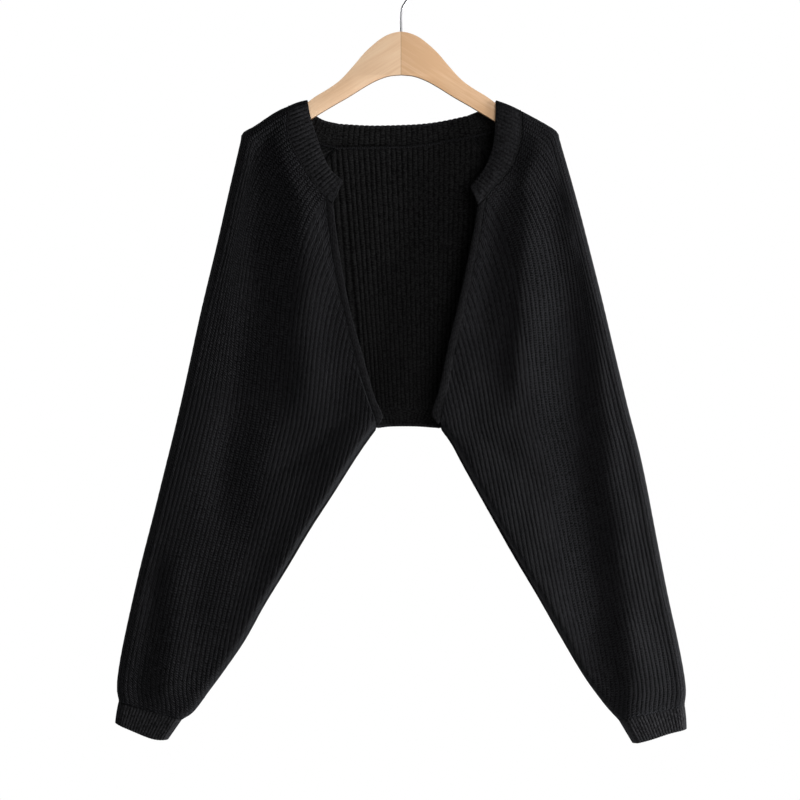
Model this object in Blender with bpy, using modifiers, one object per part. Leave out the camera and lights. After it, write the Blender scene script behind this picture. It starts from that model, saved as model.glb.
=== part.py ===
"""Open-front rib knit cardigan with batwing sleeves, hung on a wooden hanger with a wire hook.

The origin is where a rail carries the hook: +Z up, +X the wearer's left, -Y the front.
The tables are in millimetres. `across` is measured from the hook's line towards a sleeve and
`down` from the rail, so that both sides of the garment share every function.
"""
import math

import bpy
import numpy as np

COLLECTION = "cardigan_on_hanger"
MM = 0.001

# Cloth
WALL = 3.0              # thickness of the rib knit
BAND_WALL = 2.3         # thickness of the neckband, trims and hem
RIB_RISE = 0.7          # height of a rib over its groove
FINE_RISE = 0.5         # height of a rib of the bands and cuffs
SEAM_GAP = 0.35         # clearance between two pieces at a seam
RAGLAN_GAP = 0.6        # the same on the curved raglan seams, where the ribs of two pieces meet
LAYER_GAP = 0.15        # half the clearance between front and back, at the underarm seam and the fold
RIM_HALF = 1.2          # half thickness of the garment at the underarm seam
FOLD_BLEND = 85.0       # how far in from the outer fold the ribs still run beside it
SEAM_BLEND = 18.0       # how far from the underarm seam the layers take to part
FOLD_REACH = 10.0       # how far the rounded outer fold reaches in, seen from the front
FOLD_CLOTH = 18.5       # the cloth that this rounding takes up
EDGE_HOLD = 4           # power by which the ribs' likeness to the outer edge fades inward
SEAM_HOLD = 0.08        # share of a rib's upper stretch that keeps close to the neckband's seam
SEAM_SLANT = 0.85       # distance square to the underarm seam, for each unit of level distance
CREASE_START = 0.2      # share of a rib's upper stretch over which the soft folds grow
CREASE_EASE = 20.0      # how far from the outer fold they take to grow
CUFF_EASE = 1.5         # how much thinner than the sleeve the garment is at a cuff
UNDERARM_DIP = 4.0      # how much lower than its level the ribs end at the underarm seam
BAND_TIP = (0.5, 1.0)   # columns of the neckband past a front edge's top, as shares of the way
TIP_OVERLAP = 0.8       # how far above the trim's top they end
TIP_SLANT = (-1.0, 2.5)  # how far the band's free edge runs on there
HEM_INSET = 0.004       # the hem band ends this share of its length inside the underarm corners
RAGLAN_INSET = 0.06     # the back panel's sides, as a share of its side ribs
HEM_SHARE = 0.93        # where the hem band meets the raglan seam, as a share of the seam

# Rib counts
SLEEVE_WALES = 46       # on each face of a sleeve, from the outer fold to the underarm
FRONT_BAND_WALES = 24   # of these, the ones that start at the front neckband
BACK_BAND_WALES = 14    # and the ones that start at the back neckband
BACK_SIDE_WALES = 10    # of the back panel, from its widest place to the neckband's end
BACK_NECK_WALES = 27    # of the back panel, along the neckband
TRIM_RIBS = 40
CUFF_RIBS = 18          # on each face of a cuff
HEM_RIBS = 22

# Rows of points along a rib: above the shoulder point as shares of the shoulder, from there to the
# underarm's level as shares of that stretch, and below it as shares of the rest
SHOULDER_ROWS = (0.0, 0.5)
UPPER_ROWS = (0.0, 0.07, 0.27, 0.6)
LOWER_ROWS = (0.0, 0.35, 0.7, 0.93, 1.0)
BACK_ROWS = (0.0, 0.2, 0.5, 0.8, 1.0)
CUFF_ROWS = (0.0, 0.5, 1.0)
PLAIN_STEP = 6          # one column of the plain inside for this many columns of the ribbed outside
FOLD_COLUMNS = range(0, 9, 2)  # and closer ones round the outer fold, counted from it

# Half depth of the garment, rail to cuffs: down, front, back
DEPTH_ROWS = (
    (170, 12.0, 12.0),
    (240, 13.0, 12.0),
    (330, 16.0, 12.5),
    (430, 18.0, 13.0),
    (560, 16.0, 13.5),
    (720, 15.0, 14.0),
    (860, 14.0, 13.0),
    (960, 12.0, 12.0),
)

# The outlines of each half: across, down
OUTLINES = {
    "left": {
        "shoulder": ((148.8, 183), (171, 195), (189, 205.5), (196.5, 212)),
        "outer": ((198.5, 221), (215.6, 281), (234.8, 354), (253.8, 431), (281, 545), (301.6, 627),
                  (330.4, 775), (344.8, 841), (353, 884), (355.9, 909), (354.3, 926), (354, 955)),
        "inner": ((49.8, 579), (62.5, 597.5), (78.5, 627.5), (107, 679), (138.8, 736), (171, 790.5),
                  (199.6, 841), (228.4, 889.5), (253.8, 924.5), (271.3, 944)),
        "band_seam": ((148.8, 183), (148.5, 213.8), (141, 245), (126, 267.5), (113, 281), (105, 292)),
        "band_edge": ((119.4, 170.5), (118.8, 195.8), (115, 230), (106, 253.8), (98.8, 264.5), (88, 278)),
        "trim_seam": ((105, 294), (98.5, 334), (83, 411), (68.5, 474), (57.5, 530), (52.5, 556),
                      (49.8, 571)),
        "front_edge": ((96, 303), (91, 334), (75, 411), (61, 470), (48, 531), (40, 556), (40.8, 565),
                       (47, 574.5)),
        "back_band_seam": ((148.8, 183), (135, 200), (112, 209), (87.5, 215.5)),
        "back_band_edge": ((119.4, 170.5), (112, 178), (97, 184.5), (83, 190)),
        "raglan": ((87.5, 215.5), (103, 240), (112, 285), (116, 365), (108, 455), (91, 518),
                   (72, 556), (54, 574)),
        "cuff_top": ((354.3, 926), (271.3, 944)),
        "cuff_bottom": ((356.8, 955), (335, 960), (311, 967.5), (288.8, 973)),
    },
    "right": {
        "shoulder": ((140, 177.5), (157, 185.5), (182.5, 202.5), (198, 211.5)),
        "outer": ((200.5, 222), (212, 272), (230, 351), (252.5, 446), (274, 545), (302, 660),
                  (326, 755), (345, 839), (353.8, 889), (354.6, 911), (352.5, 921), (352, 955)),
        "inner": ((30.9, 579), (38.8, 590), (55, 614), (83.8, 660), (112.5, 704.5), (141, 752.5),
                  (170, 800), (195, 845), (220.6, 882.5), (240, 909), (258.8, 934), (273.3, 944)),
        "band_seam": ((140, 177.5), (141, 213.8), (131, 238.8), (115, 265), (103, 281), (94, 292)),
        "band_edge": ((117.8, 170), (113, 195), (101.3, 231), (96.8, 242.5), (88.8, 258), (74, 272)),
        "trim_seam": ((94, 294), (88.5, 345), (80.5, 393), (59.5, 481), (43.5, 537), (35.5, 560),
                      (31.2, 572)),
        "front_edge": ((85.5, 302), (80, 345), (72.5, 392.5), (62.5, 440), (51, 481), (35, 537.5),
                       (25, 561), (24.6, 568), (28.5, 575)),
        "back_band_seam": ((140, 177.5), (127, 205), (104, 222), (81.3, 228.8)),
        "back_band_edge": ((117.8, 170), (112, 185), (98, 195), (78, 200)),
        "raglan": ((81.3, 228.8), (98, 252), (108, 300), (111, 375), (97, 465), (70, 524),
                   (46, 556), (34, 574)),
        "cuff_top": ((352.5, 921), (273.3, 944)),
        "cuff_bottom": ((357, 947.5), (342, 954), (311, 966.5), (290.8, 968.8)),
    },
}

# Ribs where they leave the neckband, the front edge and the raglan seam: wale, degrees below level,
# and how far they keep that direction, as a share of their chord
RIB_STARTS = {
    "front": ((0, 30, 0.75), (8, 36, 0.8), (16, 44, 0.8), (24, 53, 0.75), (30, 64, 0.7), (38, 74, 0.7),
              (43, 84, 0.6), (46, 88, 0.5)),
    "back": ((0, 30, 0.8), (14, 22, 0.85), (18, 30, 0.6), (24, 50, 0.4), (30, 72, 0.4), (36, 86, 0.4),
             (46, 94, 0.4)),
}
# and where the sleeve starts
SLEEVE_SLOPES = {
    "front": ((0, 76), (38, 81), (46, 95)),
    "back": ((0, 76), (14, 77), (28, 84), (46, 86)),
}

# Turn of the outer fold's inward side: lengths of the shoulder from the neckband, degrees
FOLD_TURN = ((0.0, 92), (0.7, 110), (1.0, 138), (1.7, 166), (7.0, 178))

# Soft folds of the hung cloth: across, down at each end, then depth and width
SLEEVE_FOLDS = {
    ("right", "front"): (
        ((156, 248), (128, 440), -4.4, 22),
        ((96, 330), (62, 500), 2.5, 12),
        ((182, 250), (196, 420), 1.8, 20),
        ((126, 520), (146, 700), -3.0, 16),
        ((210, 470), (232, 680), -2.0, 24),
        ((286, 780), (322, 915), -3.0, 13),
    ),
    ("left", "front"): (
        ((118, 300), (132, 450), -3.5, 18),
        ((198, 300), (212, 520), 2.5, 22),
        ((228, 520), (262, 850), -4.0, 17),
        ((206, 560), (240, 780), 2.5, 14),
        ((285, 850), (308, 925), -3.0, 12),
        ((120, 540), (150, 690), -2.0, 18),
    ),
    ("right", "back"): (
        ((165, 260), (190, 480), -3.0, 24),
        ((200, 600), (262, 860), -3.5, 18),
        ((285, 820), (316, 920), -2.5, 12),
    ),
    ("left", "back"): (
        ((170, 240), (180, 460), -3.0, 22),
        ((190, 560), (236, 800), -3.0, 20),
        ((280, 830), (318, 925), -2.5, 13),
    ),
}

# The back neck between the raglan seams: across to the wearer's left, down
NECK_SEAM = ((-81.3, 228.8), (-43.8, 228.3), (7.5, 227.3), (40, 223.5), (65, 219), (87.5, 215.5))
NECK_EDGE = ((-78, 200), (-43.8, 202), (-17.5, 202), (21.3, 200.5), (50, 197), (83, 190))

# Hem band of the back: across to the wearer's left, down
HEM_TOP = ((-44.8, 556), (70.8, 556))
HEM_BOTTOM = ((-29.5, 578.8), (-12, 577), (20, 577), (48.2, 579))

# Hanger
WOOD_THICKNESS = 12.0
WOOD_BEVEL = 4.5
WOOD_TOP = ((0, 85), (10, 86.8), (20, 90.8), (30, 97.5), (45, 111), (60, 128.5), (75, 144.8),
            (90, 156), (105, 165), (113.5, 171), (119, 174.8), (140, 186), (165, 198.8), (178, 206))
WOOD_TIP = ((187, 212), (190, 219), (186, 226), (178, 228))
WOOD_BOTTOM = ((150, 214.5), (125, 201.5), (105, 189.5), (85, 177.5), (65, 166), (45, 153.5),
               (30, 145.5), (15, 140.3), (0, 138.8))
WIRE_RADIUS = 1.5
HOOK_RADIUS = 21.5      # to the middle of the wire
HOOK_START = -52        # degrees, where the hook's ring leaves the stem's bend
HOOK_END = 205          # degrees, its tip
HOOK_STEPS = 22
STEM_BEND = (62.0, 46.0)  # where the stem's bend starts and ends, down from the rail

COLOURS = {
    "knit": ((0.012, 0.012, 0.014), 0.9, 0.0),
    "wood": ((0.80, 0.58, 0.36), 0.45, 0.0),
    "steel": ((0.25, 0.25, 0.26), 0.3, 1.0),
}


class Path:
    """A smooth flat curve through a table's spots, read by the fraction of its length."""

    def __init__(self, spots, steps=10):
        spots = np.array(spots, float)
        ends = np.vstack([2 * spots[0] - spots[1], spots, 2 * spots[-1] - spots[-2]])
        line = [spots[0]]
        for before, start, stop, after in zip(ends, ends[1:], ends[2:], ends[3:]):
            for step in range(1, steps + 1):
                line.append(spline_spot(before, start, stop, after, step / steps))
        self.set_line(np.array(line))

    def set_line(self, line):
        self.line = line
        gaps = np.hypot(*np.diff(line, axis=0).T)
        self.run = np.concatenate([[0], np.cumsum(gaps)])
        self.length = self.run[-1]

    def at(self, fraction):
        run = fraction * self.length
        return np.array([np.interp(run, self.run, self.line[:, axis]) for axis in (0, 1)])

    def shifted(self, distance):
        """The same curve moved to its side."""
        slope = np.gradient(self.line, axis=0)
        slope /= np.hypot(*slope.T)[:, None]
        side = Path([(0, 0), (1, 0)])
        side.set_line(self.line + distance * np.column_stack([slope[:, 1], -slope[:, 0]]))
        return side


def spline_spot(before, start, stop, after, step):
    """One spot of a Catmull-Rom curve between two of its spots."""
    straight = 0.5 * (stop - before)
    leaving = 0.5 * (after - start)
    cube = 2 * start - 2 * stop + straight + leaving
    square = 3 * (stop - start) - 2 * straight - leaving
    return start + straight * step + square * step ** 2 + cube * step ** 3


def smoothstep(value):
    value = min(max(value, 0.0), 1.0)
    return value * value * (3 - 2 * value)


def from_table(value, rows, column=1):
    """A column of a table read at a value of its first column."""
    return np.interp(value, [row[0] for row in rows], [row[column] for row in rows])


def direction(degrees):
    """Unit vector that points outward at 0 degrees, down at 90 and inward at 180."""
    return np.array([math.cos(math.radians(degrees)), math.sin(math.radians(degrees))])


def fold_angle(cloth):
    return min(cloth / FOLD_CLOTH, 1.0) * math.pi / 2


def fold_reach(cloth):
    """How far in a point lies, seen from the front, for the cloth between it and the outer fold."""
    if cloth < FOLD_CLOTH:
        return FOLD_REACH * (1 - math.cos(fold_angle(cloth)))
    return FOLD_REACH + cloth - FOLD_CLOTH


def parting(distance):
    """Share of the garment's half depth at a distance from the underarm seam."""
    return 1 - math.exp(-max(distance, 0) / SEAM_BLEND)


def half_depth(face, down, distance):
    """Half depth of the garment at a height and a distance from the underarm seam."""
    full = from_table(down, DEPTH_ROWS, 1 if face == "front" else 2)
    return RIM_HALF + (full - RIM_HALF) * parting(distance)


def fold_rise(side, face, spot):
    """Height of the soft folds at a spot of a sleeve."""
    rise = 0.0
    for start, stop, depth, width in SLEEVE_FOLDS[side, face]:
        start, stop = np.array(start, float), np.array(stop, float)
        run = stop - start
        along = float(np.dot(spot - start, run) / np.dot(run, run))
        aside = np.hypot(*(spot - start - run * min(max(along, 0), 1)))
        rise += depth * math.exp(-(aside / width) ** 2)
    return rise


class Half:
    """The curves of one half of the garment, and the cloth's points worked out from them."""

    def __init__(self, side):
        self.side = side
        self.sign = 1 if side == "left" else -1
        spots = OUTLINES[side]
        self.paths = {name: Path(table) for name, table in spots.items()}
        self.edge = Path(spots["shoulder"] + spots["outer"][:-1])
        self.corner = np.array(spots["inner"][0], float)
        self.outer = self.paths["outer"].line
        self.inner = self.paths["inner"].line
        self.sleeve_top = self.corner[1]
        self.edge_share = self.share_of_edge(self.sleeve_top)
        self.corner_step = self.share_of_edge(spots["shoulder"][-1][1]) / self.edge_share
        past = 1 - self.corner_step
        self.upper_rows = [share * self.corner_step for share in SHOULDER_ROWS]
        self.upper_rows += [self.corner_step + share * past for share in UPPER_ROWS]
        self.sleeve_width = self.width(self.sleeve_top)
        self.cloth = self.sleeve_width - FOLD_REACH + FOLD_CLOTH
        self.seams = {
            "front": (self.paths["band_seam"], self.paths["trim_seam"], FRONT_BAND_WALES),
            "back": (self.paths["back_band_seam"], self.paths["raglan"], BACK_BAND_WALES),
        }

    def share_of_edge(self, down):
        """Fraction of the shoulder and outer edge above a height."""
        return np.interp(down, self.edge.line[:, 1], self.edge.run) / self.edge.length

    def outer_across(self, down):
        return np.interp(down, self.outer[:, 1], self.outer[:, 0])

    def width(self, down):
        return self.outer_across(down) - np.interp(down, self.inner[:, 1], self.inner[:, 0])

    def start_cloth(self, face, wale):
        """Cloth between the shoulder's top and a wale, along the neckband's seam."""
        band, _, band_wales = self.seams[face]
        return wale * (band.length - FOLD_REACH + FOLD_CLOTH) / band_wales

    def start_spot(self, face, wale):
        """Where a wale starts: on the neckband's seam, or past its end on the next seam."""
        band, rest, band_wales = self.seams[face]
        if wale <= band_wales:
            return band.at(fold_reach(self.start_cloth(face, wale)) / band.length)
        return rest.at((wale - band_wales) / (SLEEVE_WALES - band_wales))

    def sleeve_cloth(self, wale):
        return wale * self.cloth / SLEEVE_WALES

    def sleeve_spot(self, wale):
        """Where a wale crosses the level of the underarm corner."""
        reach = fold_reach(self.sleeve_cloth(wale))
        return np.array([self.outer_across(self.sleeve_top) - reach, self.sleeve_top])

    def curve_spot(self, face, wale, step):
        """A wale's upper stretch as a plain curve between its two ends."""
        start, stop = self.start_spot(face, wale), self.sleeve_spot(wale)
        chord = np.hypot(*(stop - start))
        leave = direction(from_table(wale, RIB_STARTS[face]))
        leave = leave * chord * from_table(wale, RIB_STARTS[face], 2)
        arrive = direction(from_table(wale, SLEEVE_SLOPES[face])) * chord
        square, cube = step ** 2, step ** 3
        return ((2 * cube - 3 * square + 1) * start + (cube - 2 * square + step) * leave
                + (3 * square - 2 * cube) * stop + (cube - square) * arrive)

    def upper_spot(self, face, wale, step):
        """A wale's upper stretch, which bends with the shoulder the more the nearer it is."""
        edge = self.edge.at(step * self.edge_share)
        reach = fold_reach(self.sleeve_cloth(wale))
        share = 1 - reach / self.sleeve_width
        loose = self.curve_spot(face, wale, step)
        loose = loose + share ** EDGE_HOLD * (edge - self.curve_spot(face, 0, step))
        tight = edge + reach * self.fold_side(step)
        blend = smoothstep(reach / FOLD_BLEND)
        at_seam = smoothstep(1 - step / SEAM_HOLD)
        blend = blend + (1 - blend) * at_seam
        return tight + blend * (loose - tight)

    def fold_side(self, step):
        """Inward side of the outer fold at a share of its upper stretch."""
        return direction(from_table(step / self.corner_step, FOLD_TURN))

    def end_down(self, wale):
        """How far down a wale runs, to the cuff or to the underarm seam."""
        reach = fold_reach(self.sleeve_cloth(wale))
        downs = np.linspace(self.paths["cuff_top"].line[-1, 1], self.sleeve_top, 60)
        widths = np.array([self.width(down) for down in downs])
        if reach >= widths[0]:
            return np.interp(reach, widths, downs) + UNDERARM_DIP * (wale / SLEEVE_WALES) ** 4
        return self.paths["cuff_top"].at(reach / widths[0])[1]

    def lower_spot(self, wale, step):
        reach = fold_reach(self.sleeve_cloth(wale))
        down = self.sleeve_top + step * (self.end_down(wale) - self.sleeve_top)
        return np.array([self.outer_across(down) - reach, down])

    def seam_distance(self, spot):
        """Distance of a spot from the underarm seam."""
        if spot[1] <= self.sleeve_top:
            return SEAM_SLANT * np.hypot(*(spot - self.corner))
        edge = np.interp(spot[1], self.inner[:, 1], self.inner[:, 0])
        return SEAM_SLANT * max(spot[0] - edge, 0)

    def sleeve_point(self, face, wale, row):
        """Outer point of the sleeve, and the inward direction there."""
        upper = row < len(self.upper_rows)
        step = self.upper_rows[row] if upper else LOWER_ROWS[row - len(self.upper_rows)]
        if upper:
            spot = self.upper_spot(face, wale, step)
            cloth = self.start_cloth(face, wale) * (1 - step) + self.sleeve_cloth(wale) * step
            inward = self.fold_side(step)
            folds = fold_rise(self.side, face, spot) * smoothstep(step / CREASE_START)
        else:
            spot = self.lower_spot(wale, step)
            cloth = self.sleeve_cloth(wale)
            inward = direction(180)
            folds = fold_rise(self.side, face, spot)
        distance = self.seam_distance(spot)
        if cloth > FOLD_CLOTH:
            folds *= smoothstep((cloth - FOLD_CLOTH) / CREASE_EASE) * parting(distance)
        else:
            folds = 0
        depth = half_depth(face, spot[1], distance) + folds
        angle = fold_angle(cloth)
        return spot, depth * math.sin(angle), inward * math.cos(angle), math.sin(angle)

    def place(self, face, spot, depth):
        """World point, in millimetres, of a spot at a depth in front of or behind the middle."""
        side = -1 if face == "front" else 1
        return np.array([self.sign * spot[0], side * depth, -spot[1]])


def layer(half, face, spot, depth, inward, facing, move):
    """A point moved out of the cloth's outer face, or into it where the move is negative."""
    return half.place(face, spot - move * inward, max(depth + move * facing, LAYER_GAP))


def link(faces, chain, others):
    """Triangles between a dense chain of points and a sparse one that runs beside it."""
    here, there = 0, 0
    while here < len(chain) - 1 or there < len(others) - 1:
        ahead = (here + 1) / (len(chain) - 1)
        beside = (there + 1) / max(len(others) - 1, 1)
        if there == len(others) - 1 or (here < len(chain) - 1 and ahead <= beside):
            faces.append((chain[here], chain[here + 1], others[there]))
            here += 1
        else:
            faces.append((chain[here], others[there + 1], others[there]))
            there += 1


def link_marked(faces, chain, others, marks):
    """The same between marked places, where the two chains have a point each."""
    for start, (mark, after) in enumerate(zip(marks, marks[1:])):
        link(faces, chain[mark:after + 1], others[start:start + 2])


def sheet_mesh(name, outer, inner, marks):
    """Closed cloth wall from columns of outer and inner points.

    The plain inside keeps only its marked columns, but for its first row, which follows the seam.
    """
    rows = len(outer[0])
    points = [point for column in outer for point in column]
    base = len(points)
    points += [column[0] for column in inner]
    seam = list(range(base, len(points)))
    base = len(points)
    points += [point for mark in marks for point in inner[mark][1:]]
    out = [[index * rows + row for row in range(rows)] for index in range(len(outer))]
    ins = [[seam[mark]] + [base + index * (rows - 1) + row for row in range(rows - 1)]
           for index, mark in enumerate(marks)]
    faces = []
    for here, there in zip(out, out[1:]):
        for row in range(rows - 1):
            faces.append((here[row], here[row + 1], there[row + 1]))
            faces.append((here[row], there[row + 1], there[row]))
    for here, there in zip(ins, ins[1:]):
        for row in range(1, rows - 1):
            faces.append((here[row], there[row + 1], here[row + 1]))
            faces.append((here[row], there[row], there[row + 1]))
    for here, there, under, beside in zip(out, out[1:], seam, seam[1:]):
        faces.append((here[0], there[0], beside))
        faces.append((here[0], beside, under))
    link_marked(faces, seam, [column[1] for column in ins], marks)
    rim = []
    link_marked(rim, [column[-1] for column in out], [column[-1] for column in ins], marks)
    for chain, others in ((out[0], ins[0]), (out[-1], ins[-1])):
        for row in range(rows - 1):
            quad = (chain[row], chain[row + 1], others[row + 1], others[row])
            triangles = ((quad[0], quad[2], quad[1]), (quad[0], quad[3], quad[2]))
            if chain is out[0]:
                faces.extend(triangles)
            else:
                rim.extend(triangles)
    faces.extend((first, third, second) for first, second, third in rim)
    return add_mesh(name, points, faces)


def add_mesh(name, points, faces):
    """Object from points in millimetres and triangles, turned so that they face out."""
    mesh = bpy.data.meshes.new(name)
    mesh.from_pydata([tuple(np.array(point) * MM) for point in points], [], faces)
    mesh.validate()
    if signed_volume(mesh) < 0:
        mesh.flip_normals()
    return add_object(name, mesh)


def signed_volume(mesh):
    mesh.calc_loop_triangles()
    total = 0.0
    for triangle in mesh.loop_triangles:
        first, second, third = (mesh.vertices[index].co for index in triangle.vertices)
        total += first.dot(second.cross(third)) / 6
    return total


def add_object(name, data):
    item = bpy.data.objects.new(name, data)
    bpy.data.collections[COLLECTION].objects.link(item)
    return item


def plain_marks(count, dense=()):
    """Column numbers at which the plain inside has a column too."""
    steps = round((count - 1) / PLAIN_STEP)
    even = {round(step * (count - 1) / steps) for step in range(steps + 1)}
    return sorted(even | set(dense))


def make_sleeve(half, face, name):
    """One layer of a side, front or back, from the outer fold to the underarm seam.

    Both layers are one knitted piece, which is parted along its fold.
    """
    rows = len(half.upper_rows) + len(LOWER_ROWS)
    count = 2 * SLEEVE_WALES + 1
    marks = plain_marks(count, FOLD_COLUMNS)
    outer, inner = [], []
    for number in range(count):
        rise = RIB_RISE if number % 2 else 0.0
        places = [half.sleeve_point(face, number / 2, row) for row in range(rows)]
        outer.append([layer(half, face, *place, rise) for place in places])
        inner.append([layer(half, face, *place, -WALL) for place in places])
    finish(sheet_mesh(half.side + name, outer, inner, marks), "knit")


def band_columns(half, face, extra=False):
    """Columns across the neckband from the shoulder's top down one face."""
    seam, _, wales = half.seams[face]
    edge = half.paths["band_edge" if face == "front" else "back_band_edge"]
    for number in range(2 * wales + 1):
        wale = number / 2
        cloth = half.start_cloth(face, wale)
        start = half.start_spot(face, wale)
        edge_cloth = wale * (edge.length - FOLD_REACH + FOLD_CLOTH) / wales
        stop = edge.at(fold_reach(edge_cloth) / edge.length)
        yield cross_band(half, face, start, stop, cloth, number % 2)
    if extra:
        last = half.paths["front_edge"].at(0) - np.array([0.0, TIP_OVERLAP])
        for number, share in enumerate(BAND_TIP):
            start = half.start_spot(face, wales)
            start = start + share * (last - start)
            free = stop + share * np.array(TIP_SLANT)
            yield cross_band(half, face, start, free, cloth, 1 - number)


def cross_band(half, face, start, stop, cloth, ridge):
    """Outer and inner points of one column across the neckband."""
    run = stop - start
    start = start + SEAM_GAP * run / np.hypot(*run)
    angle = fold_angle(cloth)
    inward = direction(FOLD_TURN[0][1]) * math.cos(angle)
    columns = []
    for move in (FINE_RISE * ridge, -BAND_WALL):
        column = []
        for spot in (start, stop):
            depth = half_depth(face, spot[1], half.seam_distance(spot)) * math.sin(angle)
            column.append(layer(half, face, spot, depth, inward, math.sin(angle), move))
        columns.append(column)
    return columns


def make_neckband(halves):
    """One band: down a front, over the shoulder, along the back neck, and round to the other front."""
    right, left = halves["right"], halves["left"]
    columns = list(band_columns(right, "front", extra=True))[::-1]
    columns += list(band_columns(right, "back"))[1:]
    columns += list(neck_columns())[1:]
    columns += list(band_columns(left, "back"))[::-1][1:]
    columns += list(band_columns(left, "front", extra=True))[1:]
    marks = plain_marks(len(columns), shoulder_marks(len(columns)))
    outer = [column[0] for column in columns]
    inner = [column[1] for column in columns]
    finish(sheet_mesh("neckband", outer, inner, marks), "knit")


def shoulder_marks(count):
    """Column numbers near the tops of both shoulders."""
    top = 2 * FRONT_BAND_WALES + len(BAND_TIP)
    near = [top + step for step in FOLD_COLUMNS] + [top - step for step in FOLD_COLUMNS]
    return near + [count - 1 - number for number in near]


def neck_columns():
    """Columns across the band between the raglan seams, from the wearer's right to left."""
    seam, edge = Path(NECK_SEAM), Path(NECK_EDGE)
    for number in range(2 * BACK_NECK_WALES + 1):
        share = number / (2 * BACK_NECK_WALES)
        start, stop = seam.at(share), edge.at(share)
        run = stop - start
        start = start + SEAM_GAP * run / np.hypot(*run)
        out, ins = [], []
        for across, down in (start, stop):
            depth = from_table(down, DEPTH_ROWS, 2)
            out.append(np.array([across, depth + FINE_RISE * (number % 2), -down]))
            ins.append(np.array([across, depth - BAND_WALL, -down]))
        yield out, ins


def back_depth(halves, across, down):
    """Half depth of the back between both underarm corners."""
    depth = from_table(down, DEPTH_ROWS, 2) - RIM_HALF
    for half in halves.values():
        spot = np.array([half.sign * across, min(down, half.sleeve_top)])
        depth *= parting(half.seam_distance(spot))
    return RIM_HALF + depth


def make_back(halves):
    """Back panel: ribs on both faces, from the neckband to the hem and between the raglan seams."""
    raglans = {side: half.paths["raglan"].shifted(-RAGLAN_GAP) for side, half in halves.items()}
    widest = {side: np.argmax(path.line[:, 0]) / (len(path.line) - 1) for side, path in raglans.items()}
    neck = Path(NECK_SEAM).shifted(-SEAM_GAP)
    hem = Path(HEM_TOP)
    columns = []
    total = 2 * (2 * BACK_SIDE_WALES + BACK_NECK_WALES)
    for number in range(total + 1):
        wale = number / 2
        top = back_end(halves, raglans, widest, neck, wale, True)
        bottom = back_end(halves, raglans, widest, hem, wale, False)
        outer, inner = [], []
        ridge = number % 2
        for step in BACK_ROWS:
            across, down = top + step * (bottom - top)
            depth = back_depth(halves, across, down)
            outer.append(np.array([across, depth + RIB_RISE * ridge, -down]))
            inner.append(np.array([across, depth - WALL - RIB_RISE * ridge, -down]))
        columns.append((outer, inner))
    marks = list(range(len(columns)))
    finish(sheet_mesh("back_panel", [c[0] for c in columns], [c[1] for c in columns], marks), "knit")


def back_end(halves, raglans, widest, middle, wale, top):
    """Upper or lower end of a wale of the back panel."""
    side_wales = BACK_SIDE_WALES
    last = 2 * BACK_SIDE_WALES + BACK_NECK_WALES
    if side_wales <= wale <= last - side_wales:
        return middle.at((wale - side_wales) / BACK_NECK_WALES)
    side = "right" if wale < side_wales else "left"
    share = (wale if side == "right" else last - wale) / side_wales
    share = RAGLAN_INSET + (1 - RAGLAN_INSET) * share
    end = 0.0 if top else HEM_SHARE
    place = widest[side] + (end - widest[side]) * share
    across, down = raglans[side].at(place)
    return np.array([halves[side].sign * across, down])


def make_hem(halves):
    """Hem band of the back, between the two underarm corners."""
    top, bottom = Path(HEM_TOP), Path(HEM_BOTTOM)
    columns = []
    for number in range(2 * HEM_RIBS + 1):
        share = HEM_INSET + (1 - 2 * HEM_INSET) * number / (2 * HEM_RIBS)
        out, ins = [], []
        upper, lower = top.at(share) + np.array([0, SEAM_GAP]), bottom.at(share)
        for across, down in (upper, lower):
            depth = back_depth(halves, across, down)
            out.append(np.array([across, depth + FINE_RISE * (number % 2), -down]))
            ins.append(np.array([across, max(depth - BAND_WALL, LAYER_GAP), -down]))
        columns.append((out, ins))
    marks = plain_marks(len(columns))
    outer = [column[0] for column in columns]
    inner = [column[1] for column in columns]
    finish(sheet_mesh("hem_band", outer, inner, marks), "knit")


def make_trim(half):
    """Narrow ribbed trim down a front edge, from the neckband's end round to the underarm."""
    seam = half.paths["trim_seam"].shifted(-SEAM_GAP)
    edge = half.paths["front_edge"]
    columns = []
    for number in range(2 * TRIM_RIBS + 1):
        share = number / (2 * TRIM_RIBS)
        out, ins = [], []
        for spot in (seam.at(share), edge.at(share)):
            depth = half_depth("front", spot[1], half.seam_distance(spot))
            out.append(half.place("front", spot, depth + FINE_RISE * (number % 2)))
            ins.append(half.place("front", spot, max(depth - BAND_WALL, LAYER_GAP)))
        columns.append((out, ins))
    marks = plain_marks(len(columns))
    outer = [column[0] for column in columns]
    inner = [column[1] for column in columns]
    finish(sheet_mesh(half.side + "_front_trim", outer, inner, marks), "knit")


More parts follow.
